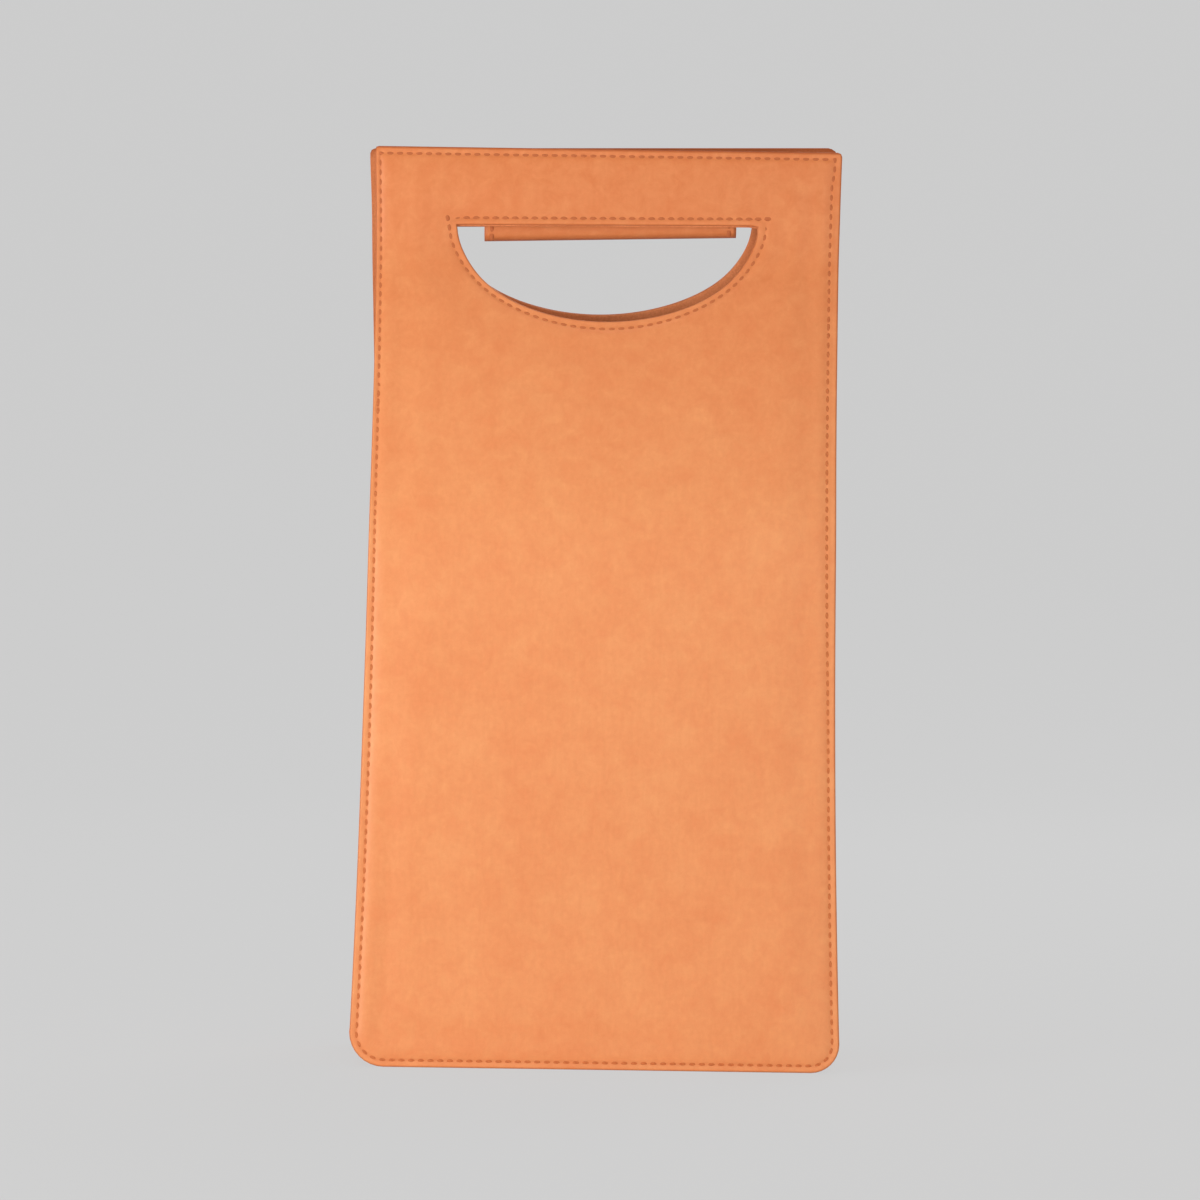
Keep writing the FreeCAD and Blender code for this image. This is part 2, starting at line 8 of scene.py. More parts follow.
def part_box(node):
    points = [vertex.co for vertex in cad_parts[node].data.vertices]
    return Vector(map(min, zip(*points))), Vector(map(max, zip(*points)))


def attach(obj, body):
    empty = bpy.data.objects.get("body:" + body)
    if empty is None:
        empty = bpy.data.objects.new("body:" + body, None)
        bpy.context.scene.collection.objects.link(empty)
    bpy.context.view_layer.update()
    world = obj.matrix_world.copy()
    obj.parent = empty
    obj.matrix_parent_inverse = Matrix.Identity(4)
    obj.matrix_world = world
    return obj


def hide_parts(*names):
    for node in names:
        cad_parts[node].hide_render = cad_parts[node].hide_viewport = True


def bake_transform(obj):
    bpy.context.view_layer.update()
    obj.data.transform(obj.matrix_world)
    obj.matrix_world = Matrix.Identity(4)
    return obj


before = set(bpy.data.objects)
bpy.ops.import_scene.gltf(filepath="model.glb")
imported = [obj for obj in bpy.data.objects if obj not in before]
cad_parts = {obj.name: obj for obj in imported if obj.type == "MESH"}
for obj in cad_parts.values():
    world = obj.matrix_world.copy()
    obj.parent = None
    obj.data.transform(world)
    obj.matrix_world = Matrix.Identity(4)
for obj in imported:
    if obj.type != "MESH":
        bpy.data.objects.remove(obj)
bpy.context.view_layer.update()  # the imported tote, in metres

mm = 0.001
front, back = -1, 1  # the front of the tote faces -Y
print("frame loaded")


# sizes that every piece shares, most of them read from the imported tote
upperLow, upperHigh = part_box("front_leather_upper")
lowerLow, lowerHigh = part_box("front_leather_lower")
tote = {
    "height": upperHigh.z,
    "hinge": upperLow.z,  # the leather bends here when the grips part
    "halfBase": lowerHigh.x,
    "halfTop": upperHigh.x,
    "halfDepth": -lowerLow.y,
    "leather": lowerHigh.y - lowerLow.y,
    "lining": 1.0 * mm,
    "barFace": lowerHigh.y - lowerLow.y - upperHigh.y,
    "upright": upperHigh.z - 34 * mm,  # above this the grip bars stand straight up
    "lowerBendShare": 0.83,
    "upperBendShare": 0.42,
    "cornerRadius": 11 * mm,
    "cutCorners": {-1: 14 * mm, 1: 11.5 * mm},  # the panels are trimmed tighter at the right
    "strapRadius": 13 * mm,
    "drawIn": 3 * mm,  # how far the side edges bow inward
    "gussetTop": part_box("gusset_top_left")[1].z,
    "gussetInset": 0.5 * mm,
}
hole = {
    "top": upperHigh.z - 32.1 * mm,
    "halfWidth": 61.9 * mm,
    "height": 39 * mm,
    "squeeze": 0.015,  # its sides are cut a little straighter than an ellipse
    "squeezeAt": 0.38,
    "squeezeWidth": 0.3,
    "seamInset": 3.2 * mm,
    "flankPull": 0.8 * mm,
    "topSeamRise": 0.35 * mm,  # the row above the hole runs a little further off
    "topTrim": 0.55 * mm,  # and the lining shows below the leather there
    "trimRun": (1.5 * mm, 2.2 * mm),  # fading over this past its ends and above it
}
tote["stack"] = tote["leather"] + tote["lining"]


# the leaning line of a panel seen from the side: distance from the middle, and lean
def leanPath(z):
    z = np.asarray(z, float)
    rise = tote["upright"] - tote["hinge"]
    lowRadius = rise * tote["lowerBendShare"]
    highRadius = rise * tote["upperBendShare"]
    radii = lowRadius + highRadius
    level = radii - tote["halfDepth"] + tote["barFace"]
    run = math.sqrt(level ** 2 + rise ** 2 - radii ** 2)
    cosine = (radii * level + run * rise) / (radii ** 2 + run ** 2)
    sine = (radii * rise - run * level) / (radii ** 2 + run ** 2)
    lowEnd = tote["hinge"] + lowRadius * sine
    highStart = tote["upright"] - highRadius * sine
    above = np.clip(z - tote["hinge"], 0, lowRadius * sine)
    below = np.clip(tote["upright"] - z, 0, highRadius * sine)
    lowArc = tote["halfDepth"] - lowRadius + np.sqrt(lowRadius ** 2 - above ** 2)
    straight = np.clip(z - lowEnd, 0, highStart - lowEnd) * sine / cosine
    highArc = tote["barFace"] + highRadius - np.sqrt(highRadius ** 2 - below ** 2)
    distance = np.where(z < highStart, lowArc - straight, highArc)
    lean = np.where(z < lowEnd, np.arcsin(above / lowRadius),
                    np.where(z < highStart, math.asin(sine), np.arcsin(below / highRadius)))
    return distance, lean


def halfWidthAt(z):
    z = np.asarray(z, float)
    chord = tote["height"] - tote["cornerRadius"]
    share = (z - tote["cornerRadius"]) / chord
    radius = chord ** 2 / (8 * tote["drawIn"]) + tote["drawIn"] / 2
    bow = tote["drawIn"]
    depth = np.sqrt(radius ** 2 - ((share - 0.5) * chord) ** 2) - radius + bow
    return tote["halfBase"] + (tote["halfTop"] - tote["halfBase"]) * share - depth


# a place on a panel: x and z on its outer face, and a depth below that face
def panelPlace(side, x, z, depth):
    distance, lean = leanPath(z)
    y = side * (distance - depth * np.cos(lean))
    return np.stack([np.asarray(x, float) + 0 * y, y, z - depth * np.sin(lean)], axis=-1)


def panelNormal(side, z):
    lean = leanPath(z)[1]
    return np.stack([0 * lean, side * np.cos(lean), np.sin(lean)], axis=-1)


# each colour is written as sRGB hex and turned to linear here
def hexColor(code):
    parts = [int(code[i:i + 2], 16) / 255 for i in (1, 3, 5)]
    return tuple(c / 12.92 if c <= 0.04045 else ((c + 0.055) / 1.055) ** 2.4 for c in parts) + (1,)


# one node, with its settings and what its sockets take: a value, an output, or a node's first output
def addNode(tree, kind, inputs=None, **settings):
    node = tree.nodes.new(kind)
    for name, value in settings.items():
        setattr(node, name, value)
    for key, value in (inputs or {}).items():
        if isinstance(value, bpy.types.Node):
            value = next(output for output in value.outputs if output.enabled)
        if isinstance(value, bpy.types.NodeSocket):
            tree.links.new(value, node.inputs[key])
        else:
            node.inputs[key].default_value = value
    return node


# a material from the shader that a function builds in its tree
def makeMaterial(name, build):
    material = bpy.data.materials.new(name)
    material.use_nodes = True
    tree = material.node_tree
    tree.nodes.clear()
    addNode(tree, "ShaderNodeOutputMaterial", {"Surface": build(tree)})
    return material


def perMm(size):
    return 1 / (size * mm)


def rampStops(node, *stops):
    for element, (place, code) in zip(node.color_ramp.elements, stops):
        element.position = place
        element.color = hexColor(code)


leather = {
    "light": "#F19F65",
    "mid": "#EB9058",
    "deep": "#C86E30",
    "pore": "#B05A32",
    "topShade": "#D8763E",
    "edge": "#9E4A26",
    # the noises: size in mm, detail, roughness and distortion
    "cloud": (34, 3.0, 0.5, 0.0),  # slow drifts of tone over a hide
    "blotch": (7, 5.0, 0.72, 0.4),  # smaller blotches where the dye took unevenly
    "mottle": (2.0, 4.0, 0.62, 0.0),  # the soft speckle of drum-dyed hide
    "wrinkle": (9, 5.0, 0.55, 0.6),
    "streak": (1.6, 3.0, 0.6, 0.0),  # fibres that run down the hide
    "streakDraw": 0.2,  # drawn out five times as long as they are wide
    "blotchShare": 0.6,
    "poreMm": 0.8,  # hair cells
    "seamGap": 3.4,  # mm from the edge to the seam line, whose groove gets painted shade
    # painted shade that darkens the hide towards the top, in patches like handling wear
    "topShadeFrom": 210 * mm,
    "topShadeTo": 380 * mm,
    "topShadeShare": 0.62,
}


# how far painted shade darkens it at its height, more towards the top
def topShading(tree, place, most):
    height = addNode(tree, "ShaderNodeSeparateXYZ", {"Vector": place}).outputs["Z"]
    return addNode(tree, "ShaderNodeMapRange", {
        "Value": height, "From Min": leather["topShadeFrom"], "From Max": leather["topShadeTo"],
        "To Min": 0.0, "To Max": most}, interpolation_type="SMOOTHSTEP")


# vegetable-tanned cowhide, smooth side out: satin, finely speckled, with dark burnished edges, painted shade
# in the seam grooves and painted shade darkening it towards the top
def cowhide(tree):
    place = addNode(tree, "ShaderNodeTexCoord").outputs["Object"]
    drawn = addNode(tree, "ShaderNodeMapping", {"Vector": place, "Scale": (1.0, 1.0, leather["streakDraw"])})
    noises = {}
    for word in ("cloud", "blotch", "mottle", "wrinkle", "streak"):
        size, detail, roughness, distortion = leather[word]
        noises[word] = addNode(tree, "ShaderNodeTexNoise", {
            "Vector": drawn if word == "streak" else place, "Scale": perMm(size), "Detail": detail,
            "Roughness": roughness, "Distortion": distortion})
    pores = addNode(tree, "ShaderNodeTexVoronoi", {"Vector": place, "Scale": perMm(leather["poreMm"])})
    gap = addNode(tree, "ShaderNodeAttribute", attribute_name="edgeGap").outputs["Fac"]
    offSeam = addNode(tree, "ShaderNodeMath", {0: gap, 1: leather["seamGap"]}, operation="SUBTRACT")
    fromSeam = addNode(tree, "ShaderNodeMath", {0: offSeam}, operation="ABSOLUTE")
    # what each pattern or distance turns into: between which values it runs, and from what to what
    shares = {}
    for word, pattern, start, end, first, last in (
            ("uneven", noises["blotch"], 0.3, 0.7, 1.3, 0.7),
            ("speckle", noises["mottle"], 0.36, 0.66, 0.09, 0.0),
            ("streak", noises["streak"], 0.4, 0.7, 0.0, 0.07),
            ("pore", pores, 0.0, 0.35, 0.06, 0.0),
            # the seam share is painted shade laid into the groove of the stitch line
            ("seamShade", fromSeam, 0.2, 1.2, 0.22, 0.0),
            ("burnish", gap, 0.2, 1.3, 0.8, 0.0),
            ("shine", gap, 0.2, 1.6, 0.12, 0.42),
            ("gloss", noises["mottle"], 0.3, 0.7, 0.43, 0.54)):
        shares[word] = addNode(tree, "ShaderNodeMapRange", {
            "Value": pattern, "From Min": start, "From Max": end, "To Min": first, "To Max": last})
    drift = addNode(tree, "ShaderNodeMix", {
        "Factor": leather["blotchShare"], "A": noises["cloud"], "B": noises["blotch"]}, data_type="FLOAT")
    color = addNode(tree, "ShaderNodeValToRGB", {"Fac": drift})
    rampStops(color, (0.36, leather["mid"]), (0.64, leather["light"]))
    # painted shade towards the top, broken into patches by the uneven blotches
    upperShade = addNode(tree, "ShaderNodeMath", {
        0: topShading(tree, place, leather["topShadeShare"]), 1: shares["uneven"]}, operation="MULTIPLY")
    for share, tint in ((upperShade, "topShade"), (shares["speckle"], "deep"), (shares["streak"], "deep"),
                        (shares["pore"], "pore"), (shares["seamShade"], "deep"), (shares["burnish"], "edge")):
        color = addNode(tree, "ShaderNodeMix", {
            "Factor": share, "A": color, "B": hexColor(leather[tint])}, data_type="RGBA")
    grain = addNode(tree, "ShaderNodeMath", {0: pores, 1: noises["mottle"]}, operation="ADD")
    fine = addNode(tree, "ShaderNodeBump", {"Strength": 0.03, "Distance": 0.12 * mm, "Height": grain})
    soft = addNode(tree, "ShaderNodeBump", {
        "Strength": 0.06, "Distance": 0.5 * mm, "Height": noises["wrinkle"], "Normal": fine})
    return addNode(tree, "ShaderNodeBsdfPrincipled", {
        "Base Color": color, "Roughness": shares["gloss"], "Normal": soft,
        "Specular IOR Level": shares["shine"]})


# split hide: matt, with a short nap, and painted shade darkening it near its cut edges
def splitHide(tree):
    place = addNode(tree, "ShaderNodeTexCoord").outputs["Object"]
    nap = addNode(tree, "ShaderNodeTexNoise", {
        "Vector": place, "Scale": perMm(0.9), "Detail": 5.0, "Roughness": 0.7})
    cloud = addNode(tree, "ShaderNodeTexNoise", {"Vector": place, "Scale": perMm(28), "Detail": 2.0})
    mixed = addNode(tree, "ShaderNodeMath", {0: nap, 1: cloud}, operation="MULTIPLY")
    tones = addNode(tree, "ShaderNodeValToRGB", {"Fac": mixed})
    rampStops(tones, (0.14, "#D07A4C"), (0.4, "#EA9462"))
    gap = addNode(tree, "ShaderNodeAttribute", attribute_name="edgeGap").outputs["Fac"]
    # painted shade near the cut edges, strongest right at them and gone 2.4 mm in
    edgeShade = addNode(tree, "ShaderNodeMapRange", {
        "Value": gap, "From Min": 0.6, "From Max": 2.4, "To Min": 0.8, "To Max": 0.0})
    edgeShaded = addNode(tree, "ShaderNodeMix", {
        "Factor": edgeShade, "A": tones, "B": hexColor("#A4542C")}, data_type="RGBA")
    fuzz = addNode(tree, "ShaderNodeBump", {"Strength": 0.35, "Distance": 0.2 * mm, "Height": nap})
    return addNode(tree, "ShaderNodeBsdfPrincipled", {
        "Base Color": edgeShaded, "Roughness": 0.85, "Normal": fuzz, "Specular IOR Level": 0.15})


# waxed linen: twisted, so it shows fine slanting bands, with painted shade darkening it towards the top
def waxedLinen(tree):
    place = addNode(tree, "ShaderNodeTexCoord").outputs["Object"]
    twist = addNode(tree, "ShaderNodeTexWave", {
        "Vector": place, "Scale": perMm(3.2), "Distortion": 1.2, "Detail": 2.0},
        bands_direction="DIAGONAL").outputs["Fac"]
    tones = addNode(tree, "ShaderNodeValToRGB", {"Fac": twist})
    rampStops(tones, (0.0, "#C66E40"), (1.0, "#D07846"))
    darkened = addNode(tree, "ShaderNodeMix", {
        "Factor": topShading(tree, place, 0.8), "A": tones, "B": hexColor("#BC6840")}, data_type="RGBA")
    plies = addNode(tree, "ShaderNodeBump", {"Strength": 0.3, "Distance": 0.08 * mm, "Height": twist})
    return addNode(tree, "ShaderNodeBsdfPrincipled", {
        "Base Color": darkened, "Roughness": 0.7, "Normal": plies, "Specular IOR Level": 0.15})


# lacquered brass, turned and tumbled: warm, with a soft brushed sparkle
def tumbledBrass(tree):
    place = addNode(tree, "ShaderNodeTexCoord").outputs["Object"]
    tumble = addNode(tree, "ShaderNodeTexNoise", {"Vector": place, "Scale": perMm(0.8), "Detail": 4.0})
    gloss = addNode(tree, "ShaderNodeMapRange", {
        "Value": tumble, "From Min": 0.3, "From Max": 0.7, "To Min": 0.22, "To Max": 0.36})
    tones = addNode(tree, "ShaderNodeValToRGB", {"Fac": tumble})
    rampStops(tones, (0.3, "#B98E45"), (0.7, "#D2AA60"))
    return addNode(tree, "ShaderNodeBsdfPrincipled", {
        "Base Color": tones, "Metallic": 1.0, "Roughness": gloss})


# pressed fibre board: dull brown-grey, flecked
def fibreBoard(tree):
    place = addNode(tree, "ShaderNodeTexCoord").outputs["Object"]
    fleck = addNode(tree, "ShaderNodeTexNoise", {
        "Vector": place, "Scale": perMm(1.4), "Detail": 6.0, "Roughness": 0.7})
    tones = addNode(tree, "ShaderNodeValToRGB", {"Fac": fleck})
    rampStops(tones, (0.35, "#6E5A45"), (0.65, "#9A8468"))
    return addNode(tree, "ShaderNodeBsdfPrincipled", {"Base Color": tones, "Roughness": 0.9})


hide = makeMaterial("vegetable-tanned cowhide", cowhide)
lining = makeMaterial("split-hide lining", splitHide)
thread = makeMaterial("waxed linen thread", waxedLinen)
brass = makeMaterial("tumbled brass", tumbledBrass)
board = makeMaterial("pressed fibre board", fibreBoard)
print("materials made")


farGap = 40.0  # mm from an edge, where none of its wear shows


def addObject(name, data):
    made = bpy.data.objects.new(name, data)
    bpy.context.scene.collection.objects.link(made)
    return made


def makePiece(name, points, faces, material, edgeGap=None):
    mesh = bpy.data.meshes.new(name)
    mesh.from_pydata([tuple(p) for p in points], [], faces)
    mesh.update()
    mesh.polygons.foreach_set("use_smooth", [True] * len(mesh.polygons))
    gaps = np.full(len(points), farGap) if edgeGap is None else np.asarray(edgeGap)
    attribute = mesh.attributes.new("edgeGap", "FLOAT", "POINT")
    attribute.data.foreach_set("value", gaps.astype(np.float32))
    mesh.materials.append(material)
    return addObject(name, mesh)


def unit(steps):
    return steps / np.linalg.norm(steps, axis=-1, keepdims=True)


# the flat cut of a panel: loops along the outline and the hand hole, filled between
def outlineLoop(step, inset=0.0):
    top = tote["height"] - inset
    flanks = {}
    for side, corner in tote["cutCorners"].items():
        radius = corner - inset
        turns = [(tote["halfBase"] - corner + radius * math.cos(a), corner + radius * math.sin(a))
                 for a in np.radians(np.linspace(-90, 0, 9))]
        heights = np.linspace(corner, top, round((tote["height"] - corner) / step))[1:]
        flanks[side] = turns + [(float(halfWidthAt(z)) - inset, z) for z in heights]
    foot = tote["halfBase"] - tote["cornerRadius"]
    bottom = np.linspace(-flanks[-1][0][0], flanks[1][0][0], round(2 * foot / step))[1:-1]
    across = np.linspace(flanks[1][-1][0], -flanks[-1][-1][0], round(2 * tote["halfTop"] / step))[1:-1]
    points = [(x, inset) for x in bottom] + flanks[1] + [(x, top) for x in across]
    points += [(-x, z) for x, z in reversed(flanks[-1])]
    return np.array(points)


def holeLoop(step):
    half, deep = hole["halfWidth"], hole["height"]
    points = [(x, hole["top"]) for x in np.linspace(-half, half, round(2 * half / step))]
    count = round(math.pi * math.sqrt((half ** 2 + deep ** 2) / 2) / step)
    for a in np.linspace(0, math.pi, count)[1:-1]:
        fromSqueeze = (math.sin(a) - hole["squeezeAt"]) / hole["squeezeWidth"]
        cut = 1 - hole["squeeze"] * math.exp(-fromSqueeze ** 2)
        points.append((half * cut * math.cos(a), hole["top"] - deep * math.sin(a)))
    return np.array(points)


# a loop moved to its left by a distance, with true mitres at its corners
def shiftLoop(loop, distance):
    ahead = unit(np.roll(loop, -1, axis=0) - loop)
    left = np.stack([-ahead[:, 1], ahead[:, 0]], axis=1)
    before = np.roll(left, 1, axis=0)
    mitre = (left + before) / (1 + (left * before).sum(axis=1))[:, None]
    return loop + mitre * distance


# points in blocks that are small enough to measure at once
def inBlocks(points):
    return np.array_split(points, max(1, len(points) // 1500))


# how far each point is from a loop
def gapTo(points, loop):
    starts, ends = loop, np.roll(loop, -1, axis=0)
    along = ends - starts
    lengths = (along ** 2).sum(axis=1)
    gaps = []
    for block in inBlocks(points):
        offset = block[:, None, :] - starts[None]
        share = np.clip((offset * along[None]).sum(axis=2) / lengths[None], 0, 1)
        gaps.append(np.sqrt(((offset - share[..., None] * along[None]) ** 2).sum(axis=2)).min(axis=1))
    return np.concatenate(gaps)


def isInside(points, loop):
    starts, ends = loop, np.roll(loop, -1, axis=0)
    rise = ends[:, 1] - starts[:, 1]
    slope = (ends[:, 0] - starts[:, 0]) / np.where(rise == 0, 1, rise)
    found = []
    for block in inBlocks(points):
        px, pz = block[:, :1], block[:, 1:]
        crosses = (starts[:, 1] > pz) != (ends[:, 1] > pz)
        found.append(((crosses & (px < starts[:, 0] + (pz - starts[:, 1]) * slope)).sum(axis=1) % 2) == 1)
    return np.concatenate(found)


# points of a cut, with how far each one is from its edges
def cutGaps(points, step):
    return {"points": points, "outlineGap": gapTo(points, outlineLoop(step)),
            "holeGap": gapTo(points, holeLoop(step))}


def flatCut(step, insets, spacing):
    outerRings = [outlineLoop(step, d) for d in insets]
    holeRings = [shiftLoop(holeLoop(step), d) for d in insets]
    points, faces = [], []

    def addRings(rings):
        base = sum(len(p) for p in points)
        count = len(rings[0])
        points.extend(rings)
        for r in range(len(rings) - 1):
            for i in range(count):
                a, b = base + r * count + i, base + r * count + (i + 1) % count
                faces.append((a, b, b + count, a + count))
        last = base + (len(rings) - 1) * count
        return list(range(base, base + count)), list(range(last, last + count))

    def between(places):
        return isInside(places, outerRings[-1]) & ~isInside(places, holeRings[-1])

    outerEdge, outerLast = addRings(outerRings)
    holeEdge, holeLast = addRings(holeRings)
    lows = np.arange(-tote["halfBase"], tote["halfBase"], spacing)
    rows = np.arange(0, tote["height"], spacing * 0.87)  # for triangles with nearly equal sides
    grid = np.array([(x + (i % 2) * spacing / 2, z) for i, z in enumerate(rows) for x in lows])
    grid = grid[between(grid)]
    clear = spacing * 0.6
    grid = grid[(gapTo(grid, outerRings[-1]) > clear) & (gapTo(grid, holeRings[-1]) > clear)]
    base = sum(len(p) for p in points)
    points.append(grid)
    flat = np.concatenate(points)
    used = outerLast + holeLast + list(range(base, len(flat)))
    order = {v: i for i, v in enumerate(used)}
    edges = [(order[a], order[b]) for loop in (outerLast, holeLast)
             for a, b in zip(loop, loop[1:] + loop[:1])]
    result = geometry.delaunay_2d_cdt([Vector(flat[v]) for v in used], edges, [], 0, 1e-7)
    triangles = [tuple(used[result[3][v][0]] for v in face) for face in result[2]]
    keep = between(flat[np.array(triangles)].mean(axis=1))
    faces += [t for t, k in zip(triangles, keep) if k]
    return {"faces": faces, "edges": [outerEdge, holeEdge]} | cutGaps(flat, step)


panel = {
    "seamInset": 3.0 * mm,
    "seamWander": 1.0 * mm,
    "wanderRuns": ((60 * mm, 25 * mm), (130 * mm, 90 * mm), (7 * mm, 9 * mm)),  # from middle, base, top
    "crown": 1.1 * mm,  # how far the middle stands proud of the seam
    "crownRun": 20 * mm,
    "puff": 0.42 * mm,  # the roll of leather just inside the stitches
    "puffPlace": 7.0 * mm,
    "puffWidth": 3.4 * mm,
    "cornerPuff": 90 * mm,  # it doubles towards the lower left corner
    "holePuff": 0.6,  # and is this much of it round the hole
    "groove": 0.28 * mm,
    "grooveWidth": 1.0 * mm,
    "edgeRound": 0.55 * mm,
    "edgeRun": 0.9 * mm,
    "wave": 0.9 * mm,
    "waveSize": 95 * mm,
    "ripple": 0.22 * mm,
    "rippleSize": 26 * mm,
    "waveRun": 12 * mm,  # waves and ripples grow over this from the seam
    "fleshShare": 0.9,  # the inner face follows the outer one this much
    "eased": (0.5 * mm, 0.6 * mm),  # how much less than the top its other edges are burnished
    # how much further in the lining's painted edge shade starts, at the outline and at the hole
    "liningEased": (1.3 * mm, 2.1 * mm),
    "liningRound": 0.4,
    "insets": [d * mm for d in (0, 0.12, 0.35, 0.7, 1.2, 2.0, 2.6, 3.0, 3.4, 3.8, 4.3, 5.2, 6.6, 8.4)],
    "step": 1.9 * mm,
    "spacing": 2.6 * mm,
    "liningInsets": [d * mm for d in (0, 0.4, 1.2, 3.0)],
    "liningStep": 3.8 * mm,
    "liningSpacing": 6.5 * mm,
}

# creases that show in the leather: start, middle, end (x and z in mm), depth and width in mm
frontCreases = [
    ((-43, 279), (8, 268), (64, 255), 0.26, 2.6),
    ((-60, 284), (-48, 280), (-28, 279), 0.24, 1.8),
    ((-92, 275.5), (-87, 275), (-78, 276.2), 0.42, 1.1),
    ((-92, 271), (-87, 271.2), (-82, 270.6), 0.3, 1.1),
    ((-92, 266.5), (-88, 266.6), (-84, 266.2), 0.26, 1.1),
    ((80, 304), (86, 303), (92, 303.6), 0.34, 1.2),
    ((78, 299), (85, 298.4), (92, 299), 0.28, 1.2),
    ((72, 280), (82, 276), (93, 275), 0.4, 1.3),
    ((31, 88), (44, 78), (60, 68), 0.13, 4.5),
    ((-79, 26), (-66, 17), (-55, 10), 0.16, 4.5),
]
backCreases = [
    ((-60, 252), (-10, 262), (50, 274), 0.16, 4.5),
    ((-92, 288), (-86, 287), (-79, 288), 0.3, 1.2),
    ((82, 268), (87, 267.4), (92, 268), 0.3, 1.2),
    ((-30, 60), (-8, 70), (22, 74), 0.13, 5.0),
]


def smooth(t):
    t = np.clip(t, 0, 1)
    return t * t * (3 - 2 * t)


def bell(distance, width):
    return np.exp(-(distance / width) ** 2)


# how far in a seam runs: at the upper right the row wanders in from the edge
def outlineInset(flat):
    x, z = flat[:, 0], flat[:, 1]
    (fromMiddle, acrossRun), (fromBase, upRun), (fromTop, topRun) = panel["wanderRuns"]
    wander = smooth((x - fromMiddle) / acrossRun) * smooth((z - fromBase) / upRun)
    wander = panel["seamWander"] * wander * smooth((tote["height"] - fromTop - z) / topRun)
    return panel["seamInset"] + wander


# and on the curved flanks of the hole it runs closer to the edge
def holeInset(flat):
    u = np.clip(np.abs(flat[:, 0]) / hole["halfWidth"], 0, 1)
    v = np.clip((hole["top"] - flat[:, 1]) / hole["height"], 0, 1)
    return hole["seamInset"] - hole["flankPull"] * np.clip(4 * (u * v) ** 2, 0, 1)


def slowNoise(flat, size, seed):
    return np.array([noise.noise(Vector((x / size, z / size, seed))) for x, z in flat])


# how far the leather stands proud of its flat cut, before the edge is rounded
def relief(cut, creases, seed):
    flat = cut["points"]
    inner = np.minimum(cut["outlineGap"] - panel["seamInset"], cut["holeGap"] - hole["seamInset"])
    height = panel["crown"] * smooth(inner / panel["crownRun"])
    full = 1 + bell(np.hypot(flat[:, 0] + tote["halfBase"], flat[:, 1]), panel["cornerPuff"])
    for gap, seam, share in ((cut["outlineGap"], outlineInset(flat), full),
                             (cut["holeGap"], holeInset(flat), panel["holePuff"])):
        height += panel["puff"] * share * bell(gap - panel["puffPlace"], panel["puffWidth"])
        height -= panel["groove"] * bell(gap - seam, panel["grooveWidth"])
    inside = smooth(inner / panel["waveRun"])
    height += inside * panel["wave"] * slowNoise(flat, panel["waveSize"], seed)
    height += inside * panel["ripple"] * slowNoise(flat, panel["rippleSize"], seed + 7.3)
    for start, middle, end, depth, width in creases:
        a, b, c = (np.array(p) * mm for p in (start, middle, end))
        curve = np.array([a * (1 - t) ** 2 + b * 2 * t * (1 - t) + c * t ** 2 for t in np.linspace(0, 1, 9)])
        gaps = np.full(len(flat), 1.0)
        for p, q in zip(curve, curve[1:]):
            share = np.clip(((flat - p) @ (q - p)) / ((q - p) @ (q - p)), 0, 1)
            gaps = np.minimum(gaps, np.linalg.norm(flat - p - share[:, None] * (q - p), axis=1))
        height -= depth * mm * bell(gaps, width * mm)
    return height


settled = {
    "tilt": math.radians(0.85),  # the back panel tips up at its right end
    "tiltFrom": 150 * mm,
    "tiltRun": 180 * mm,
    "shift": {"top": 1.3 * mm, "hole": 0.5 * mm},  # and sits this far to the left
    "backHoleLeft": 1.4 * mm,  # with its hole further still
    "backLift": 0.5 * mm,  # its top edge stands a little higher
    "frontDrop": 0.45 * mm,  # and the front one a little lower
    "topCorners": {front: (1.2 * mm, 1.8 * mm), back: (2.2 * mm, 4.4 * mm)},
    "holeLift": 3.9 * mm,  # the lower edge of its hole is cut higher
    "holeLiftBelow": 6 * mm,
    "holeLiftRun": 30 * mm,
    "holeTurn": math.radians(0.58),  # the front hole isn't quite square to the top edge
    "holeTurnRuns": (14 * mm, 40 * mm, 26 * mm),  # fading above, below and beside it
    "holeRight": 0.65 * mm,  # and sits a little to the right
    "holeCorner": 2.0 * mm,  # its upper right corner is cut round
    "holeCornerCut": 0.3,
    "leftIn": 1.3 * mm,  # the front panel is narrower at its upper left
    "leftInShare": 0.05,
    "leftInFrom": 120 * mm,
    "leftInRun": 150 * mm,
}


# the top corners of a panel, cut square above and rounded off here
def roundTop(side, x, z):
    for toward, radius in zip((-1, 1), settled["topCorners"][side]):
        u = np.clip((toward * x - tote["halfTop"] + radius) / radius, 0, 1)
        v = np.clip((z - tote["height"] + radius) / radius, 0, 1)
        x = x - toward * radius * u * (1 - np.sqrt(1 - v * v / 2))
        z = z - radius * v * (1 - np.sqrt(1 - u * u / 2))
    return x, z


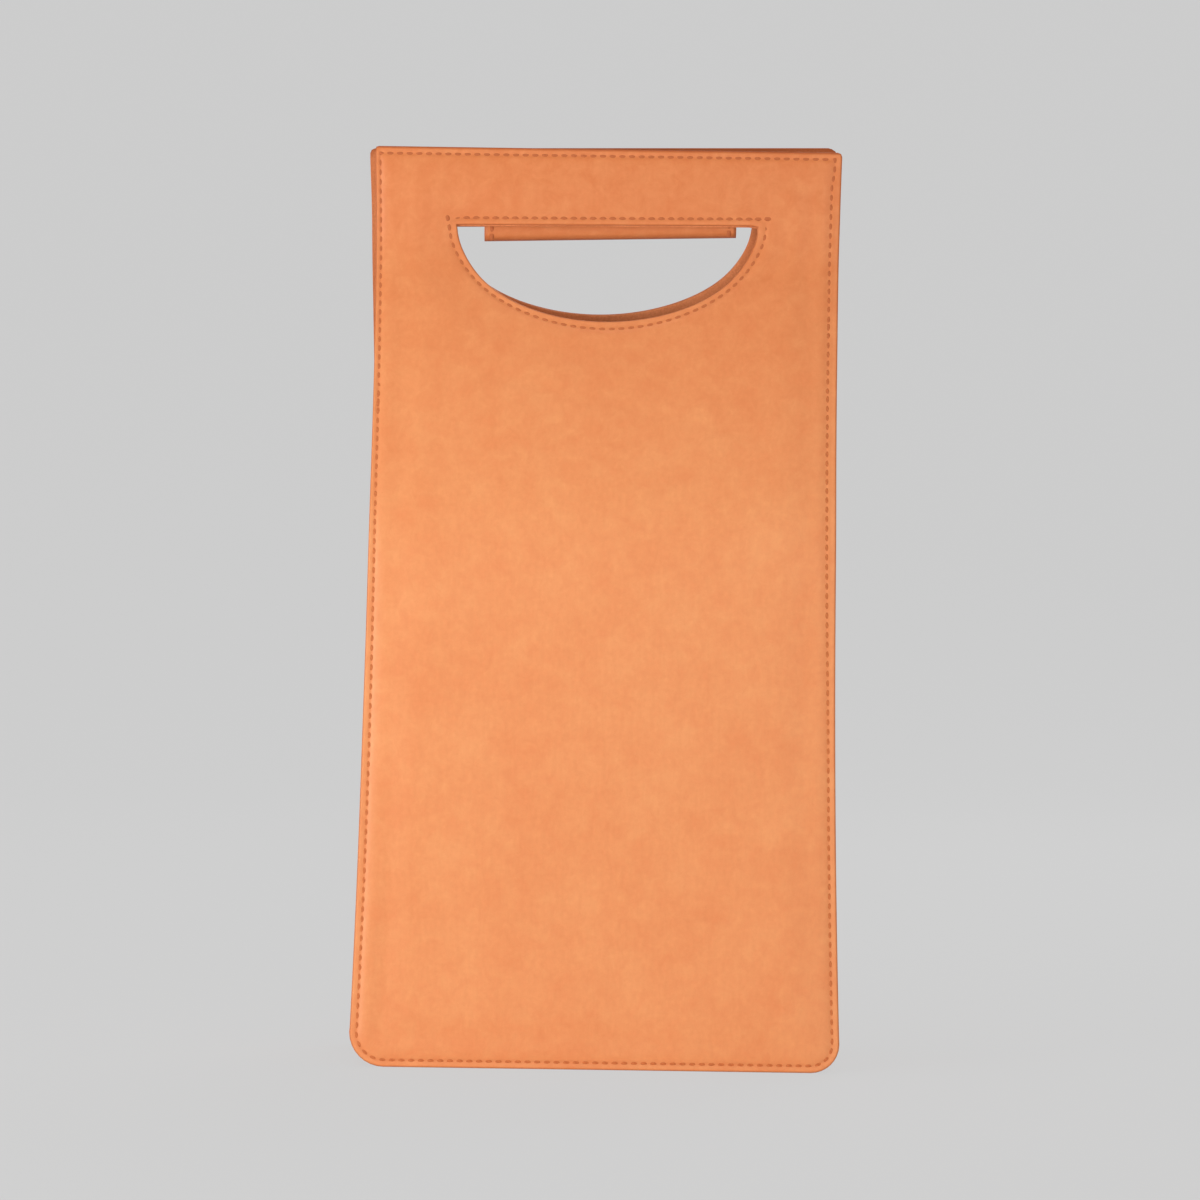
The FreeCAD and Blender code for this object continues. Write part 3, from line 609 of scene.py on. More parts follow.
# the small errors of cutting and sewing that show in the front and back panels
def settle(side, x, z):
    low = hole["top"] - hole["height"]
    atTop = smooth((z - hole["top"]) / (tote["height"] - hole["top"]))
    x, z = roundTop(side, x, z)
    above, below, beside = settled["holeTurnRuns"]
    inHole = bell(np.maximum(z - hole["top"], 0), above) * bell(np.maximum(low - z, 0), below)
    inHole = inHole * bell(np.maximum(np.abs(x) - hole["halfWidth"], 0), beside)
    if side == front:
        atLeft = smooth((-x / tote["halfTop"] - 1) / settled["leftInShare"] + 1)
        inward = settled["leftIn"] * atLeft * smooth((z - settled["leftInFrom"]) / settled["leftInRun"])
        nearCorner = np.hypot(x - hole["halfWidth"], z - hole["top"])
        rounding = settled["holeCorner"] * settled["holeCornerCut"] * bell(nearCorner, settled["holeCorner"])
        inward = inward + settled["holeRight"] * inHole - rounding
        drop = settled["frontDrop"] * atTop + rounding
        return x + inward, z + x * math.sin(settled["holeTurn"]) * inHole - drop
    share = smooth((z - settled["tiltFrom"]) / settled["tiltRun"])
    lift = bell(z - low + settled["holeLiftBelow"], settled["holeLiftRun"]) * settled["holeLift"]
    lift = lift + settled["backLift"] * atTop
    shift = settled["shift"]["hole"] + (settled["shift"]["top"] - settled["shift"]["hole"]) * atTop
    left = shift * share + settled["backHoleLeft"] * inHole
    return x - left, z + x * math.sin(settled["tilt"]) * share + lift


# a closed layer of leather or lining between two depths below the outer face
def makeLayer(name, side, cut, depths, height, material, rounding, eased, topTrim=0.0):
    flat = cut["points"]
    gap = np.minimum(cut["outlineGap"], cut["holeGap"])
    nearEdge = 1 - np.clip(gap / panel["edgeRun"], 0, 1)
    fall = panel["edgeRound"] * (1 - np.sqrt(np.clip(1 - nearEdge ** 2, 0, 1)))
    pastEnds, above = hole["trimRun"]
    overHole = bell(np.maximum(np.abs(flat[:, 0]) - hole["halfWidth"], 0), pastEnds)
    trim = topTrim * bell(flat[:, 1] - hole["top"], above) * overHole
    x, z = settle(side, flat[:, 0], flat[:, 1] + trim)
    outer = panelPlace(side, x, z, depths[0] - height + fall * rounding[0])
    inner = panelPlace(side, x, z, depths[1] - height * panel["fleshShare"] - fall * rounding[1])
    count = len(flat)
    turned = [f[::-1] for f in cut["faces"]]
    upper, lower = (cut["faces"], turned) if side == front else (turned, cut["faces"])
    faces = list(upper) + [tuple(v + count for v in f) for f in lower]
    for loop in cut["edges"]:
        for a, b in zip(loop, loop[1:] + loop[:1]):
            wall = (a, a + count, b + count, b)
            faces.append(wall if side == front else wall[::-1])
    # the top edge is burnished dark, which also paints shade on the back panel's top edge; the other edges
    # less, as if they lay further in, which keeps the lower edges lighter as if light caught them from
    # below; on the lining this distance sets its painted edge shade
    burnishAndShade = np.minimum(cut["outlineGap"] + eased[0], cut["holeGap"] + eased[1])
    burnishAndShade = np.minimum(burnishAndShade, np.maximum(tote["height"] - flat[:, 1], gap))
    points = np.concatenate([outer, inner])
    return makePiece(name, points, faces, material, np.concatenate([burnishAndShade, burnishAndShade]) / mm)


panelCut = flatCut(panel["step"], panel["insets"], panel["spacing"])
liningCut = flatCut(panel["liningStep"], panel["liningInsets"], panel["liningSpacing"])
print("panels cut", len(panelCut["faces"]), len(liningCut["faces"]))

sideNames = {front: "front", back: "back"}


def blendPanel(piece):
    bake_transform(piece)


wear = {front: (frontCreases, 1.7), back: (backCreases, 5.1)}  # and where the slow noise starts
for side, (creases, seed) in wear.items():
    word = sideNames[side]
    shell = makeLayer(f"{word}Panel", side, panelCut, (0, tote["leather"]),
                      relief(panelCut, creases, seed), hide, (1, 0), panel["eased"],
                      hole["topTrim"] if side == front else 0.0)
    blendPanel(shell)
    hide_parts(f"{word}_leather_lower", f"{word}_leather_upper")
    inside = makeLayer(f"{word}Lining", side, liningCut, (tote["leather"], tote["stack"]),
                       relief(liningCut, [], seed), lining, (0, panel["liningRound"]), panel["liningEased"])
    blendPanel(inside)
    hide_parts(f"{word}_lining_lower", f"{word}_lining_upper")
print("panels made")


# a closed sheet from a grid of points on its middle surface
def makeSheet(name, grid, thickness, material, gaps=None):
    grid = np.asarray(grid, float)
    rows, columns = grid.shape[:2]
    normal = unit(np.cross(np.gradient(grid, axis=0), np.gradient(grid, axis=1)))
    upper, lower = grid + normal * thickness / 2, grid - normal * thickness / 2
    points = np.concatenate([upper.reshape(-1, 3), lower.reshape(-1, 3)])
    count = rows * columns
    index = np.arange(count).reshape(rows, columns)
    faces = []
    for r in range(rows - 1):
        for c in range(columns - 1):
            a, b, d, e = index[r, c], index[r, c + 1], index[r + 1, c + 1], index[r + 1, c]
            faces.append((int(e), int(d), int(b), int(a)))
            faces.append(tuple(int(v) + count for v in (a, b, d, e)))
    rim = [int(v) for v in np.concatenate([index[0], index[1:, -1], index[-1, -2::-1], index[-2:0:-1, 0]])]
    for a, b in zip(rim, rim[1:] + rim[:1]):
        faces.append((a, b, b + count, a + count))
    edgeGap = None if gaps is None else np.concatenate([np.ravel(gaps)] * 2)
    return makePiece(name, points, faces, material, edgeGap)


gusset = {
    "flange": 8 * mm,
    "bow": 0.9 * mm,  # the side walls draw in a little halfway up
    "cornerRound": 1.3 * mm,
    "pathStep": 4 * mm,
    "levels": 34,
    "across": 22,
    "foldRound": 3.2 * mm,
    "clearance": 0.3 * mm,
    "sag": 1.4 * mm,  # the folded ends belly out between fold and seam
    "foldSoften": 0.6,
    "liningSlack": 0.05 * mm,
    "liningShort": 0.1 * mm,
    "topLining": 0.7 * mm,
    "topLiningDepth": 1.15 * mm,
    "bendRun": 22 * mm,
    "leanAt": 20 * mm,  # its bend stands square to the panel this far above the middle of the end
}


# the U that the strip follows, from the top of one wall down, under the base and up
def strapPath(inset, bottom):
    radius = tote["strapRadius"] - inset
    foot = tote["halfBase"] - tote["strapRadius"]
    count = round((tote["hinge"] - radius) / gusset["pathStep"])
    heights = np.linspace(tote["hinge"], bottom + radius, count)
    wall = [(float(halfWidthAt(max(z, tote["cornerRadius"]))) - inset, z) for z in heights]
    bend = [(foot + radius * math.cos(a), bottom + radius + radius * math.sin(a))
            for a in np.radians(np.linspace(0, -90, 9)[1:])]
    floor = [(x, bottom) for x in np.linspace(foot, -foot, 36)[1:-1]]
    mirrored = [(-x, z) for x, z in reversed(wall + bend)]
    return np.array(wall + bend + floor + mirrored)


# the strip swept along its U: section points are (depth inward, y)
def sweepStrap(name, path, section, material, bowed):
    ahead = unit(np.gradient(path, axis=0))
    inward = np.stack([ahead[:, 1], -ahead[:, 0]], axis=1)
    points, count = [], len(section)
    for (x, z), (nx, nz) in zip(path, inward):
        climb = math.sin(math.pi * min(max(z / tote["hinge"], 0), 1))
        for depth, y in section:
            bow = bowed * climb * (1 - (y / tote["halfDepth"]) ** 2) * abs(nx)
            points.append((x + nx * (depth + bow), y, z + nz * (depth + bow)))
    faces = []
    for r in range(len(path) - 1):
        for i in range(count):
            j = (i + 1) % count
            faces.append((r * count + i, (r + 1) * count + i, (r + 1) * count + j, r * count + j))
    faces.append(tuple(range(count)))
    faces.append(tuple((len(path) - 1) * count + i for i in reversed(range(count))))
    return makePiece(name, points, faces, material)


def strapSection(half, thick, flange):
    turn = gusset["cornerRound"]
    arc = [(turn * (1 - math.sin(a)), half - turn * (1 - math.cos(a))) for a in np.radians((90, 60, 30, 0))]
    outside = [(0, y) for y in np.linspace(-half + turn, half - turn, 15)]
    section = outside + arc[1:] + [(flange, half), (flange, half - thick)]
    section += [(thick, y) for y in np.linspace(half - thick, -half + thick, 15)]
    section += [(flange, -half + thick), (flange, -half)]
    section += [(depth, -y) for depth, y in reversed(arc[1:])]
    return section


innerDepth = tote["halfDepth"] - tote["stack"]
strip = sweepStrap("gussetStrip", strapPath(tote["gussetInset"], 0),
                   strapSection(innerDepth, tote["leather"], tote["leather"] + gusset["flange"]),
                   hide, gusset["bow"])
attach(strip, "body")
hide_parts("gusset_strip")

liningHalf = innerDepth - tote["leather"] - gusset["liningShort"]
liningDepth = tote["leather"] + gusset["liningSlack"]
liningSection = [(depth, turn * y) for depth, turn in ((0, 1), (tote["lining"], -1))
                 for y in np.linspace(-liningHalf, liningHalf, 12)]
liner = sweepStrap("gussetLining", strapPath(tote["gussetInset"] + liningDepth, liningDepth), liningSection,
                   lining, gusset["bow"])
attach(liner, "body")
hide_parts("gusset_lining")


# half of one folded end of the gusset, from the fold in the middle out to a panel
def foldGrid(x, side, depthIn):
    wallLength = innerDepth - gusset["clearance"]
    rows = []
    for z in np.linspace(tote["hinge"], tote["gussetTop"], gusset["levels"]):
        distance, lean = leanPath(z)
        reach = float(distance) - tote["stack"] / math.cos(float(lean)) - gusset["clearance"]
        reach = min(reach, wallLength)
        fold = math.sqrt(max(wallLength ** 2 - reach ** 2, 0))
        edge = float(halfWidthAt(z)) - tote["gussetInset"] - tote["leather"] / 2
        row = []
        for share in np.linspace(0, 1, gusset["across"]):
            y = share * reach
            soften = gusset["foldRound"] * math.exp(-y / gusset["foldRound"]) * fold / wallLength
            sag = gusset["sag"] * math.sin(math.pi * share) * fold / wallLength
            out = edge - fold * (1 - share) + soften * gusset["foldSoften"] + sag - depthIn
            row.append((x * out, side * y, z))
        rows.append(row)
    return np.array(rows)


halfNodes = {-1: "gusset_top_left", 1: "gusset_top_right"}
for x, word in ((-1, "Left"), (1, "Right")):
    for side in (front, back):
        for layer, thick, depthIn, material, slotName in (
                ("Gusset", tote["leather"], 0, hide, "leather"),
                ("GussetLining", gusset["topLining"], gusset["topLiningDepth"], lining, "lining")):
            grid = foldGrid(x, side, depthIn)
            half = makeSheet(f"{sideNames[side]}{layer}{word}", grid if x * side > 0 else grid[:, ::-1],
                             thick, material)
            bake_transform(half)
            if layer == "Gusset":
                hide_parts(halfNodes[x])
print("gusset made")


coverLow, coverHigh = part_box("base_cover")
middle = (coverLow.z + coverHigh.z) / 2
coverGrid = [[(x, y, middle) for y in np.linspace(coverLow.y, coverHigh.y, 21)]
             for x in np.linspace(coverLow.x, coverHigh.x, 45)]
cover = makeSheet("baseCover", coverGrid, coverHigh.z - coverLow.z, lining)
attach(cover, "body")
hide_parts("base_cover")
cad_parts["base_board"].data.materials.clear()
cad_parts["base_board"].data.materials.append(board)

dividerLow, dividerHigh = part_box("bottle_divider")
divider = {"web": 2 * mm, "tab": 6 * mm, "tabThick": 1 * mm, "lean": 0.8 * mm}


def dividerBow(y, z):
    return divider["lean"] * math.sin(math.pi * y / dividerHigh.y) * math.sin(math.pi * z / dividerHigh.z)


webYs = np.linspace(dividerLow.y + divider["tabThick"], dividerHigh.y - divider["tabThick"], 20)
webZs = np.linspace(dividerLow.z, dividerHigh.z, 40)
webGaps = [[min(farGap, abs(dividerHigh.z - z) / mm) for z in webZs] for y in webYs]
webGrid = [[(dividerBow(y, z), y, z) for z in webZs] for y in webYs]
web = makeSheet("dividerWeb", webGrid, divider["web"], hide, webGaps)
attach(web, "body")
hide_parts("bottle_divider")
for side in (front, back):
    y = side * (dividerHigh.y - divider["tabThick"] / 2)
    tab = makeSheet(f"dividerTab{sideNames[side].title()}",
                    [[(x, y, z) for z in webZs] for x in np.linspace(-divider["tab"], divider["tab"], 7)],
                    divider["tabThick"], hide)
    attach(tab, "body")
print("inner pieces made")


# the flap: sewn behind the back bar, bent under it and standing between the bars
flapLow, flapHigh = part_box("flap_sewn_leather")
leafLow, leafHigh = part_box("flap_free_leather")
flap = {
    "half": flapHigh.x,
    "radius": (flapHigh.y - flapLow.y) / 2,
    "leather": leafHigh.y - leafLow.y,
    "lining": 1.0 * mm,
    "corner": 6 * mm,
    "seam": 3.0 * mm,
    "offCentre": 1.7 * mm,
    "tip": math.radians(1.6),
    "lift": 0.35 * mm,
    "step": 1.1 * mm,
    "across": 64,
    "stops": [d * mm for d in (0, 0.02, 0.12, 0.35, 0.8, 1.6)],  # close rows at its ends
    "firstRow": 2.6 * mm,
    "bond": 0.02 * mm,  # its two layers stand this far apart
    "burnishAndShade": (-0.1 * mm, 0.27, 1.1 * mm),  # painted shade along the underside of the bend, laid on like burnish: at it, per mm from it, at most
    "sideWorn": 0.5 * mm,
    "blend": (0.75 * mm, 1.85 * mm, 0.13 * mm),  # behind and before the middle of the bend, and up
    "rowEnds": (0.1, 0.78),  # how far round the bend the stitches of the two leaves start
}
flap["middle"] = flapHigh.y - flap["radius"]
flap["bend"] = leafLow.z
flap["bendLength"] = math.pi * flap["radius"]
flap["sewnLength"] = flapHigh.z - flap["bend"]
flap["freeLength"] = leafHigh.z - flap["bend"]
flap["length"] = flap["sewnLength"] + flap["bendLength"] + flap["freeLength"]


# a place on the flap: how far along it from the top of the sewn leaf, and its outward normal
def flapPlace(along):
    if along < flap["sewnLength"]:
        return (flap["middle"] + flap["radius"], flapHigh.z - along), (1, 0)
    if along < flap["sewnLength"] + flap["bendLength"]:
        turn = (along - flap["sewnLength"]) / flap["radius"]
        return ((flap["middle"] + flap["radius"] * math.cos(turn),
                 flap["bend"] - flap["radius"] * math.sin(turn)), (math.cos(turn), -math.sin(turn)))
    climb = along - flap["sewnLength"] - flap["bendLength"]
    return (flap["middle"] - flap["radius"], flap["bend"] + climb), (-1, 0)


def flapHalf(along):
    fromEnd = min(along, flap["length"] - along)
    if fromEnd >= flap["corner"]:
        return flap["half"]
    return flap["half"] - flap["corner"] + math.sqrt(flap["corner"] ** 2 - (flap["corner"] - fromEnd) ** 2)


# the flap tips the same way as the back bar that it is sewn to, and sits a little to the right
def tipped(x, z):
    return z + x * math.sin(flap["tip"]) + flap["lift"]


def flapGrid(depth):
    rows = []
    length, first, stops = flap["length"], flap["firstRow"], flap["stops"]
    inner = np.linspace(first, length - first, round(length / flap["step"]))
    alongs = stops + list(inner) + [length - s for s in reversed(stops)]
    for along in alongs:
        (y, z), (ny, nz) = flapPlace(along)
        half = flapHalf(along)
        rows.append([(x + flap["offCentre"], y - ny * depth, tipped(x, z - nz * depth))
                     for x in np.linspace(-half, half, flap["across"])])
    return np.array(rows), alongs


def flapGaps(alongs):
    gaps = []
    atFold, perLength, most = flap["burnishAndShade"]
    for along in alongs:
        half = flapHalf(along)
        # the bend gets painted shade as if it were a burnished edge
        fromFold = abs(along - flap["sewnLength"] - flap["bendLength"] * 0.5)
        burnishAndShade = min(atFold + fromFold * perLength, most)
        gaps.append([min(half - abs(x) + flap["sideWorn"], along, flap["length"] - along, burnishAndShade) / mm
                     for x in np.linspace(-half, half, flap["across"])])
    return gaps


def blendFlap(piece):
    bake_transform(piece)


for layer, depth, thick, material, slotName in (
        ("leather", flap["leather"] / 2, flap["leather"], hide, "leather"),
        ("lining", flap["leather"] + flap["lining"] / 2, flap["lining"], lining, "lining")):
    grid, alongs = flapGrid(depth)
    strap = makeSheet(f"flap{layer.title()}", grid[:, ::-1], thick - flap["bond"], material,
                      flapGaps(alongs))
    blendFlap(strap)
    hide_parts(f"flap_sewn_{layer}", f"flap_free_{layer}")
print("flap made")


# each profile is (distance towards the back from where the piece is seated, radius) in mm
snap = {
    "places": (-32 * mm, 32 * mm),
    "height": tote["height"] - 19 * mm,
    "sides": 28,
    "stud": [(0, 0.4), (0, 4.6), (0.2, 5.0), (0.6, 5.0), (0.8, 4.5), (0.85, 1.9), (1.2, 1.5), (1.9, 1.55),
             (2.3, 1.8), (2.6, 1.5), (2.7, 0.5)],
    "socket": [(0, 3.6), (2.3, 3.5), (2.3, 2.9), (-0.4, 2.9), (-0.9, 3.0), (-1.1, 3.6), (-1.0, 4.5),
               (-0.8, 5.2), (-0.3, 5.5), (0, 5.4)],
    "cap": [(0, 0.5), (0, 5.2), (0.25, 5.5), (0.5, 5.3), (0.75, 4.2), (0.9, 2.4), (0.9, 0.4)],
}


# a turned piece at both places, with flat ends or closed as a ring
def makeTurned(name, seat, profile, ring):
    points, faces = [], []
    count = len(profile)
    for x in snap["places"]:
        base = len(points)
        for s in range(snap["sides"]):
            a = 2 * math.pi * s / snap["sides"]
            points += [(x + r * mm * math.cos(a), seat + y * mm, snap["height"] + r * mm * math.sin(a))
                       for y, r in profile]
        for s in range(snap["sides"]):
            here, there = base + s * count, base + (s + 1) % snap["sides"] * count
            for i in range(count if ring else count - 1):
                j = (i + 1) % count
                faces.append((here + i, here + j, there + j, there + i))
        if not ring:
            faces.append(tuple(base + s * count for s in range(snap["sides"])))
            faces.append(tuple(base + s * count + count - 1 for s in reversed(range(snap["sides"]))))
    return makePiece(name, points, faces, brass)


for name, profile, seat, body, node in (
        ("snapStuds", "stud", -(tote["barFace"] - tote["stack"]), "front_handle", "snap_studs"),
        ("snapSockets", "socket", leafLow.y, "flap", "snap_sockets"),
        ("snapCaps", "cap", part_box("snap_caps")[0].y, "flap", "snap_caps")):
    piece = makeTurned(name, seat, snap[profile], profile == "socket")
    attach(piece, body)
    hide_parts(node)
print("snaps made")


stitch = {
    "Pitch": 3.9 * mm,
    "Length": 2.1 * mm,
    "Width": 1.9 * mm,
    "Rise": 0.36 * mm,
    "Sink": 1.0 * mm,
    "Flat": 0.24,  # pressed flat against the leather
    "Jitter": 5.0,  # degrees of slant either way
    "Seed": 11,
    "Thread": thread,
}


# a row of stitches along a seam line whose points carry the normal of the leather
def makeStitchTree():
    tree = bpy.data.node_groups.new("stitchRow", "GeometryNodeTree")
    kinds = {"Seed": "NodeSocketInt", "Thread": "NodeSocketMaterial"}
    tree.interface.new_socket(name="Seam", in_out="INPUT", socket_type="NodeSocketGeometry")
    for name in stitch:
        tree.interface.new_socket(name=name, in_out="INPUT", socket_type=kinds.get(name, "NodeSocketFloat"))
    tree.interface.new_socket(name="Stitches", in_out="OUTPUT", socket_type="NodeSocketGeometry")
    given = addNode(tree, "NodeGroupInput").outputs
    line = addNode(tree, "GeometryNodeMeshToCurve", {"Mesh": given["Seam"]})
    steps = addNode(tree, "GeometryNodeResampleCurve", {
        "Curve": line, "Length": given["Pitch"]}, mode="LENGTH")
    tangent = addNode(tree, "GeometryNodeInputTangent")
    up = addNode(tree, "GeometryNodeInputNamedAttribute", {"Name": "seamNormal"}, data_type="FLOAT_VECTOR")
    facing = addNode(tree, "FunctionNodeAlignEulerToVector", {"Vector": up}, axis="Z")
    along = addNode(tree, "FunctionNodeAlignEulerToVector", {
        "Rotation": facing, "Vector": tangent}, axis="X", pivot_axis="Z")
    most = addNode(tree, "ShaderNodeMath", {0: given["Jitter"]}, operation="RADIANS")
    least = addNode(tree, "ShaderNodeMath", {0: most, 1: -1.0}, operation="MULTIPLY")
    turn = addNode(tree, "FunctionNodeRandomValue", {
        "Min": least, "Max": most, "Seed": given["Seed"]}, data_type="FLOAT")
    spin = addNode(tree, "ShaderNodeCombineXYZ", {"Z": turn})
    slanted = addNode(tree, "FunctionNodeRotateEuler", {"Rotation": along, "Rotate By": spin}, space="LOCAL")
    parts = {}
    for part, size, share in (("start", "Length", -0.5), ("end", "Length", 0.5), ("foot", "Sink", -1.0),
                              ("crest", "Rise", 1.6), ("radius", "Width", 0.5)):
        parts[part] = addNode(tree, "ShaderNodeMath", {0: given[size], 1: share}, operation="MULTIPLY")
    arch = addNode(tree, "GeometryNodeCurveQuadraticBezier", {
        "Resolution": 5,
        "Start": addNode(tree, "ShaderNodeCombineXYZ", {"X": parts["start"], "Z": parts["foot"]}),
        "Middle": addNode(tree, "ShaderNodeCombineXYZ", {"Z": parts["crest"]}),
        "End": addNode(tree, "ShaderNodeCombineXYZ", {"X": parts["end"], "Z": parts["foot"]})})
    rope = addNode(tree, "GeometryNodeCurvePrimitiveCircle", {
        "Resolution": 6, "Radius": parts["radius"]}, mode="RADIUS")
    single = addNode(tree, "GeometryNodeCurveToMesh", {
        "Curve": arch, "Profile Curve": rope, "Fill Caps": True})
    thin = addNode(tree, "ShaderNodeCombineXYZ", {"X": 1.0, "Y": 1.0, "Z": given["Flat"]})
    placed = addNode(tree, "GeometryNodeInstanceOnPoints", {
        "Points": steps, "Instance": single, "Rotation": slanted, "Scale": thin})
    real = addNode(tree, "GeometryNodeRealizeInstances", {"Geometry": placed})
    shaded = addNode(tree, "GeometryNodeSetShadeSmooth", {"Geometry": real})
    painted = addNode(tree, "GeometryNodeSetMaterial", {"Geometry": shaded, "Material": given["Thread"]})
    addNode(tree, "NodeGroupOutput", {"Stitches": painted})
    return tree


stitchTree = makeStitchTree()


def makeStitches(name, seams):
    mesh = bpy.data.meshes.new(name)
    points, normals, edges = [], [], []
    for line, normal in seams:
        base = len(points)
        points += [tuple(p) for p in line]
        normals += [tuple(n) for n in normal]
        edges += [(base + i, base + i + 1) for i in range(len(line) - 1)]
    mesh.from_pydata(points, edges, [])
    attribute = mesh.attributes.new("seamNormal", "FLOAT_VECTOR", "POINT")
    attribute.data.foreach_set("vector", np.array(normals, np.float32).ravel())
    row = addObject(name, mesh)
    modifier = row.modifiers.new("stitches", "NODES")
    modifier.node_group = stitchTree
    for item in stitchTree.interface.items_tree:
        if item.in_out == "INPUT" and item.name in stitch:
            modifier[item.identifier] = stitch[item.name]
    bpy.context.view_layer.update()
    finished = bpy.data.meshes.new_from_object(row.evaluated_get(bpy.context.evaluated_depsgraph_get()))
    row.modifiers.remove(modifier)
    row.data = finished
    return row


# the seam line on a panel, laid on the leather as it stands there
def panelSeam(side, loop):
    x, z = settle(side, loop[:, 0], loop[:, 1])
    height = relief(cutGaps(loop, panel["step"]), *wear[side])
    return panelPlace(side, x, z, -height), panelNormal(side, z)


# a run without its first stitch, which is the last one of the run before it
def skipFirst(run):
    lengths = np.concatenate([[0], np.cumsum(np.linalg.norm(np.diff(run, axis=0), axis=1))])
    start = [np.interp(stitch["Pitch"], lengths, run[:, i]) for i in (0, 1)]
    return np.vstack([start, run[lengths > stitch["Pitch"] + 0.2 * mm]])


# cuts a closed seam into the runs between its sharp corners
def seamRuns(loop):
    ahead = unit(np.roll(loop, -1, axis=0) - loop)
    bends = (ahead * np.roll(ahead, 1, axis=0)).sum(axis=1)
    corners = [i for i in range(len(loop)) if bends[i] < math.cos(math.radians(40))]
    runs = [np.take(loop, range(a, b + 1 if b > a else b + 1 + len(loop)), axis=0, mode="wrap")
            for a, b in zip(corners, corners[1:] + corners[:1])]
    return [skipFirst(run) for run in runs]


outlineSeam = outlineLoop(panel["step"], panel["seamInset"])
outlineSeam[:, 0] -= outlineInset(outlineSeam) - panel["seamInset"]
holeLine = holeLoop(panel["step"])
holeSeam = shiftLoop(holeLine, holeInset(holeLine)[:, None])
holeSeam[:, 1] += np.where(holeSeam[:, 1] > hole["top"], hole["topSeamRise"], 0)
for side in (front, back):
    word = sideNames[side]
    runs, shortened = seamRuns(outlineSeam), []
    for run in seamRuns(holeSeam):
        # the sewn leaf of the flap covers the middle of the row above the back hole
        if side == back and run[:, 1].min() > hole["top"]:
            fromMiddle = run[:, 0] - flap["offCentre"]
            shortened += [run[fromMiddle < -flap["half"]], run[fromMiddle > flap["half"]]]
        else:
            runs.append(run)
    rows = makeStitches(f"{word}Stitches", [panelSeam(side, run) for run in runs + shortened])
    blendPanel(rows)
    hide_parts(f"{word}_stitches_lower", f"{word}_stitches_upper", f"{word}_stitches_hole")

# on the flap the rows stop at the bend, so each leaf has a U of its own
flapSeams = []
for share, end in zip(flap["rowEnds"], (flap["seam"], flap["length"] - flap["seam"])):
    start = flap["sewnLength"] + share * flap["bendLength"]
    leg = [(flapHalf(along) - flap["seam"], along) for along in np.linspace(start, end, 20)]
    across = [(x, end) for x in np.linspace(leg[-1][0], -leg[-1][0], 50)[1:-1]]
    places, normals = [], []
    for x, along in leg + across + [(-x, s) for x, s in leg[::-1]]:
        (y, z), (ny, nz) = flapPlace(along)
        places.append((x + flap["offCentre"], y, tipped(x, z)))
        normals.append((0, ny, nz))
    flapSeams.append((places, normals))
flapRow = makeStitches("flapStitches", flapSeams)
blendFlap(flapRow)
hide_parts("flap_stitches_sewn", "flap_stitches_free")
print("stitches made")


# a plain floor that runs up into a backdrop, an even grey to the camera
studio = {
    "grey": "#CECECE",
    "bounce": "#F0F0F0",  # lighter to everything but the camera, as a lit table is
    "halfWidth": 9.0,
    "frontEdge": -6.0,
    "backEdge": 1.6,
    "bendRadius": 1.2,
    "height": 3.5,
    "shadowShare": 0.10,
    "glow": 1.035,
}


def seamlessPaper(tree):
    paper = addNode(tree, "ShaderNodeBsdfDiffuse", {"Color": hexColor(studio["grey"])})
    even = addNode(tree, "ShaderNodeEmission", {
        "Color": hexColor(studio["grey"]), "Strength": studio["glow"]})
    seen = addNode(tree, "ShaderNodeMixShader", {0: 1 - studio["shadowShare"], 1: paper, 2: even})
    lit = addNode(tree, "ShaderNodeBsdfDiffuse", {"Color": hexColor(studio["bounce"])})
    path = addNode(tree, "ShaderNodeLightPath").outputs
    fromEye = path["Is Camera Ray"]
    for ray in ("Is Glossy Ray", "Is Transmission Ray"):
        fromEye = addNode(tree, "ShaderNodeMath", {0: fromEye, 1: path[ray]}, operation="MAXIMUM")
    return addNode(tree, "ShaderNodeMixShader", {0: fromEye, 1: lit, 2: seen})


def makeStudio():
    profile = [(studio["frontEdge"], 0), (studio["backEdge"], 0)]
    for a in np.radians(np.linspace(-90, 0, 13)[1:]):
        profile.append((studio["backEdge"] + studio["bendRadius"] * math.cos(a),
                        studio["bendRadius"] + studio["bendRadius"] * math.sin(a)))
    profile.append((profile[-1][0], studio["height"]))
    points = [(x, y, z) for y, z in profile for x in (-studio["halfWidth"], studio["halfWidth"])]
    faces = [(2 * i, 2 * i + 1, 2 * i + 3, 2 * i + 2) for i in range(len(profile) - 1)]
    backdrop = makePiece("backdrop", points, faces, makeMaterial("matt seamless paper", seamlessPaper))


makeStudio()

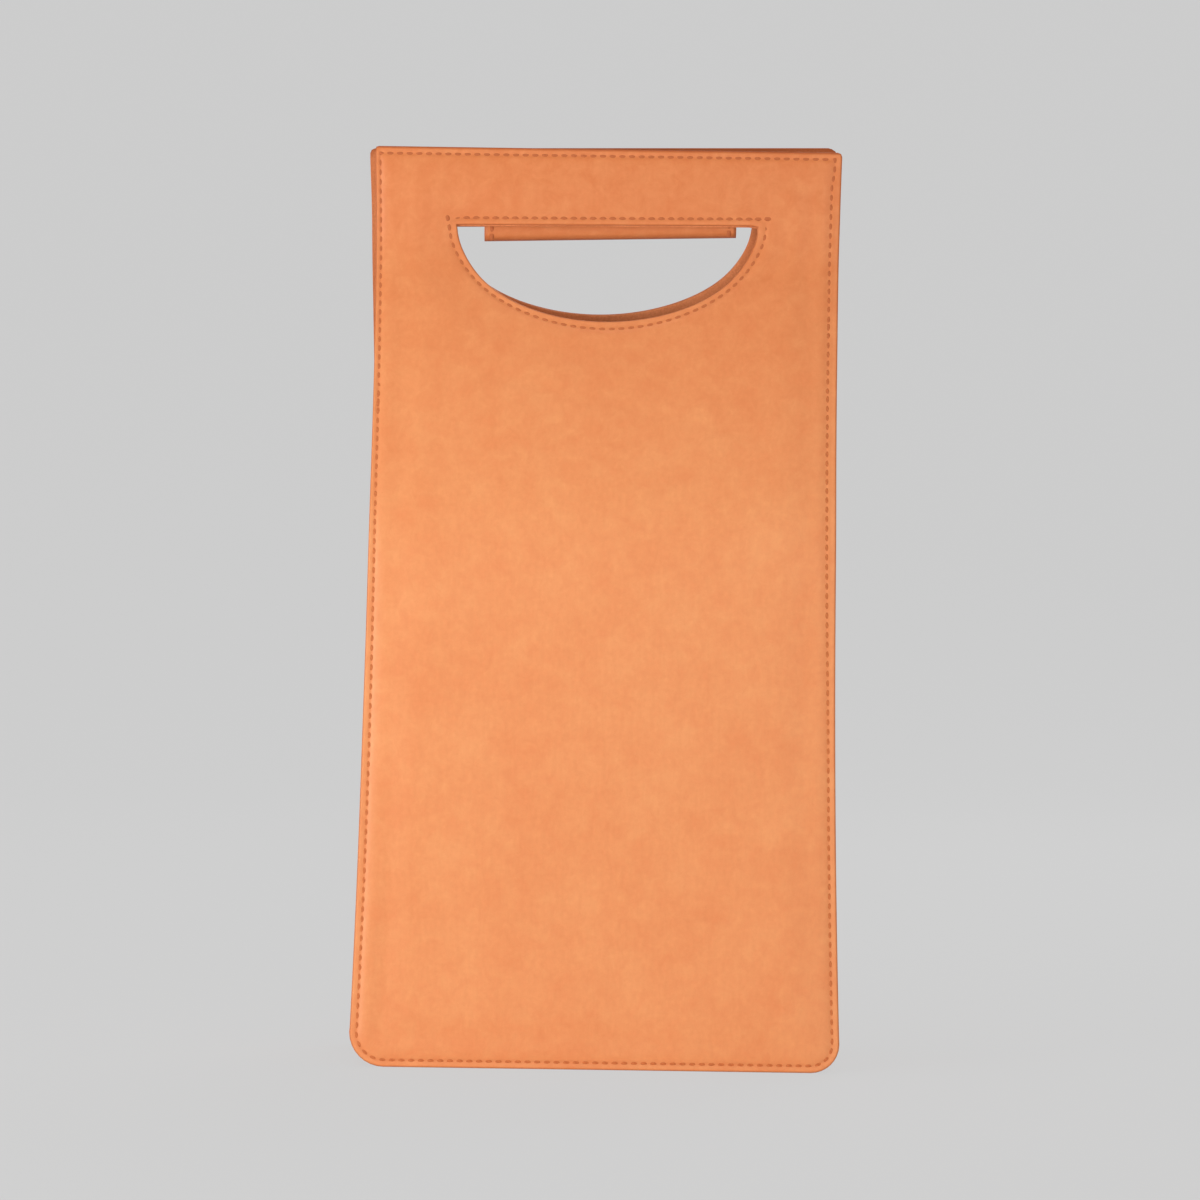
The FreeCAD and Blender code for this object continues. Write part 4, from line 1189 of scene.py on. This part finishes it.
lights = {
    "key": {"at": (-0.8, -0.72, 0.13), "size": 0.6, "power": 7.9, "color": "#FBFFFF"},
    "fill": {"at": (0.6, -1.75, 0.5), "size": 1.0, "power": 6.2, "color": "#FFECDE"},
    "top": {"at": (-0.2, -0.2, 2.0), "size": 1.2, "power": 7, "color": "#FFFFFF"},
    "behind": {"at": (0.6, 1.3, 1.2), "size": 1.2, "power": 10, "color": "#FFFFFF"},
}


def aimAt(item, target):
    item.rotation_euler = (target - item.location).to_track_quat("-Z", "Y").to_euler()


for name, lamp in lights.items():
    light = addObject(name, bpy.data.lights.new(name, "AREA"))
    light.data.shape = "DISK"
    light.data.size = lamp["size"]
    light.data.energy = lamp["power"]
    light.data.color = hexColor(lamp["color"])[:3]
    light.location = lamp["at"]
    aimAt(light, Vector((0, 0, tote["height"] / 2)))

world = bpy.data.worlds.new("soft room")
bpy.context.scene.world = world
world.use_nodes = True
worldTree = world.node_tree
worldTree.nodes.clear()
roomLight = addNode(worldTree, "ShaderNodeBackground", {"Color": hexColor("#FFFFFF"), "Strength": 0.4})
beyond = addNode(worldTree, "ShaderNodeBackground", {"Color": hexColor(studio["grey"]), "Strength": 1.0})
fromEye = addNode(worldTree, "ShaderNodeLightPath").outputs["Is Camera Ray"]
room = addNode(worldTree, "ShaderNodeMixShader", {0: fromEye, 1: roomLight, 2: beyond})
addNode(worldTree, "ShaderNodeOutputWorld", {"Surface": room})

# the photograph's view: level, from two metres, the tote turned a little clockwise in it
camera = {
    "distance": 2.0,
    "elevation": 1.5,
    "aimHeight": 189.85 * mm,
    "aimAcross": -0.3 * mm,
    "frameWidth": 483.3 * mm,
    "roll": 0.85,
}
lens = bpy.data.cameras.new("camera")
lens.angle = 2 * math.atan(camera["frameWidth"] / 2 / camera["distance"])
eye = addObject("camera", lens)
target = Vector((camera["aimAcross"], -tote["halfDepth"], camera["aimHeight"]))
tilt = math.radians(camera["elevation"])
eye.location = target + Vector((0, -math.cos(tilt), math.sin(tilt))) * camera["distance"]
aimAt(eye, target)
eye.rotation_euler.rotate_axis("Z", math.radians(camera["roll"]))
bpy.context.scene.camera = eye
bpy.context.scene.view_settings.view_transform = "Standard"
print("studio made")
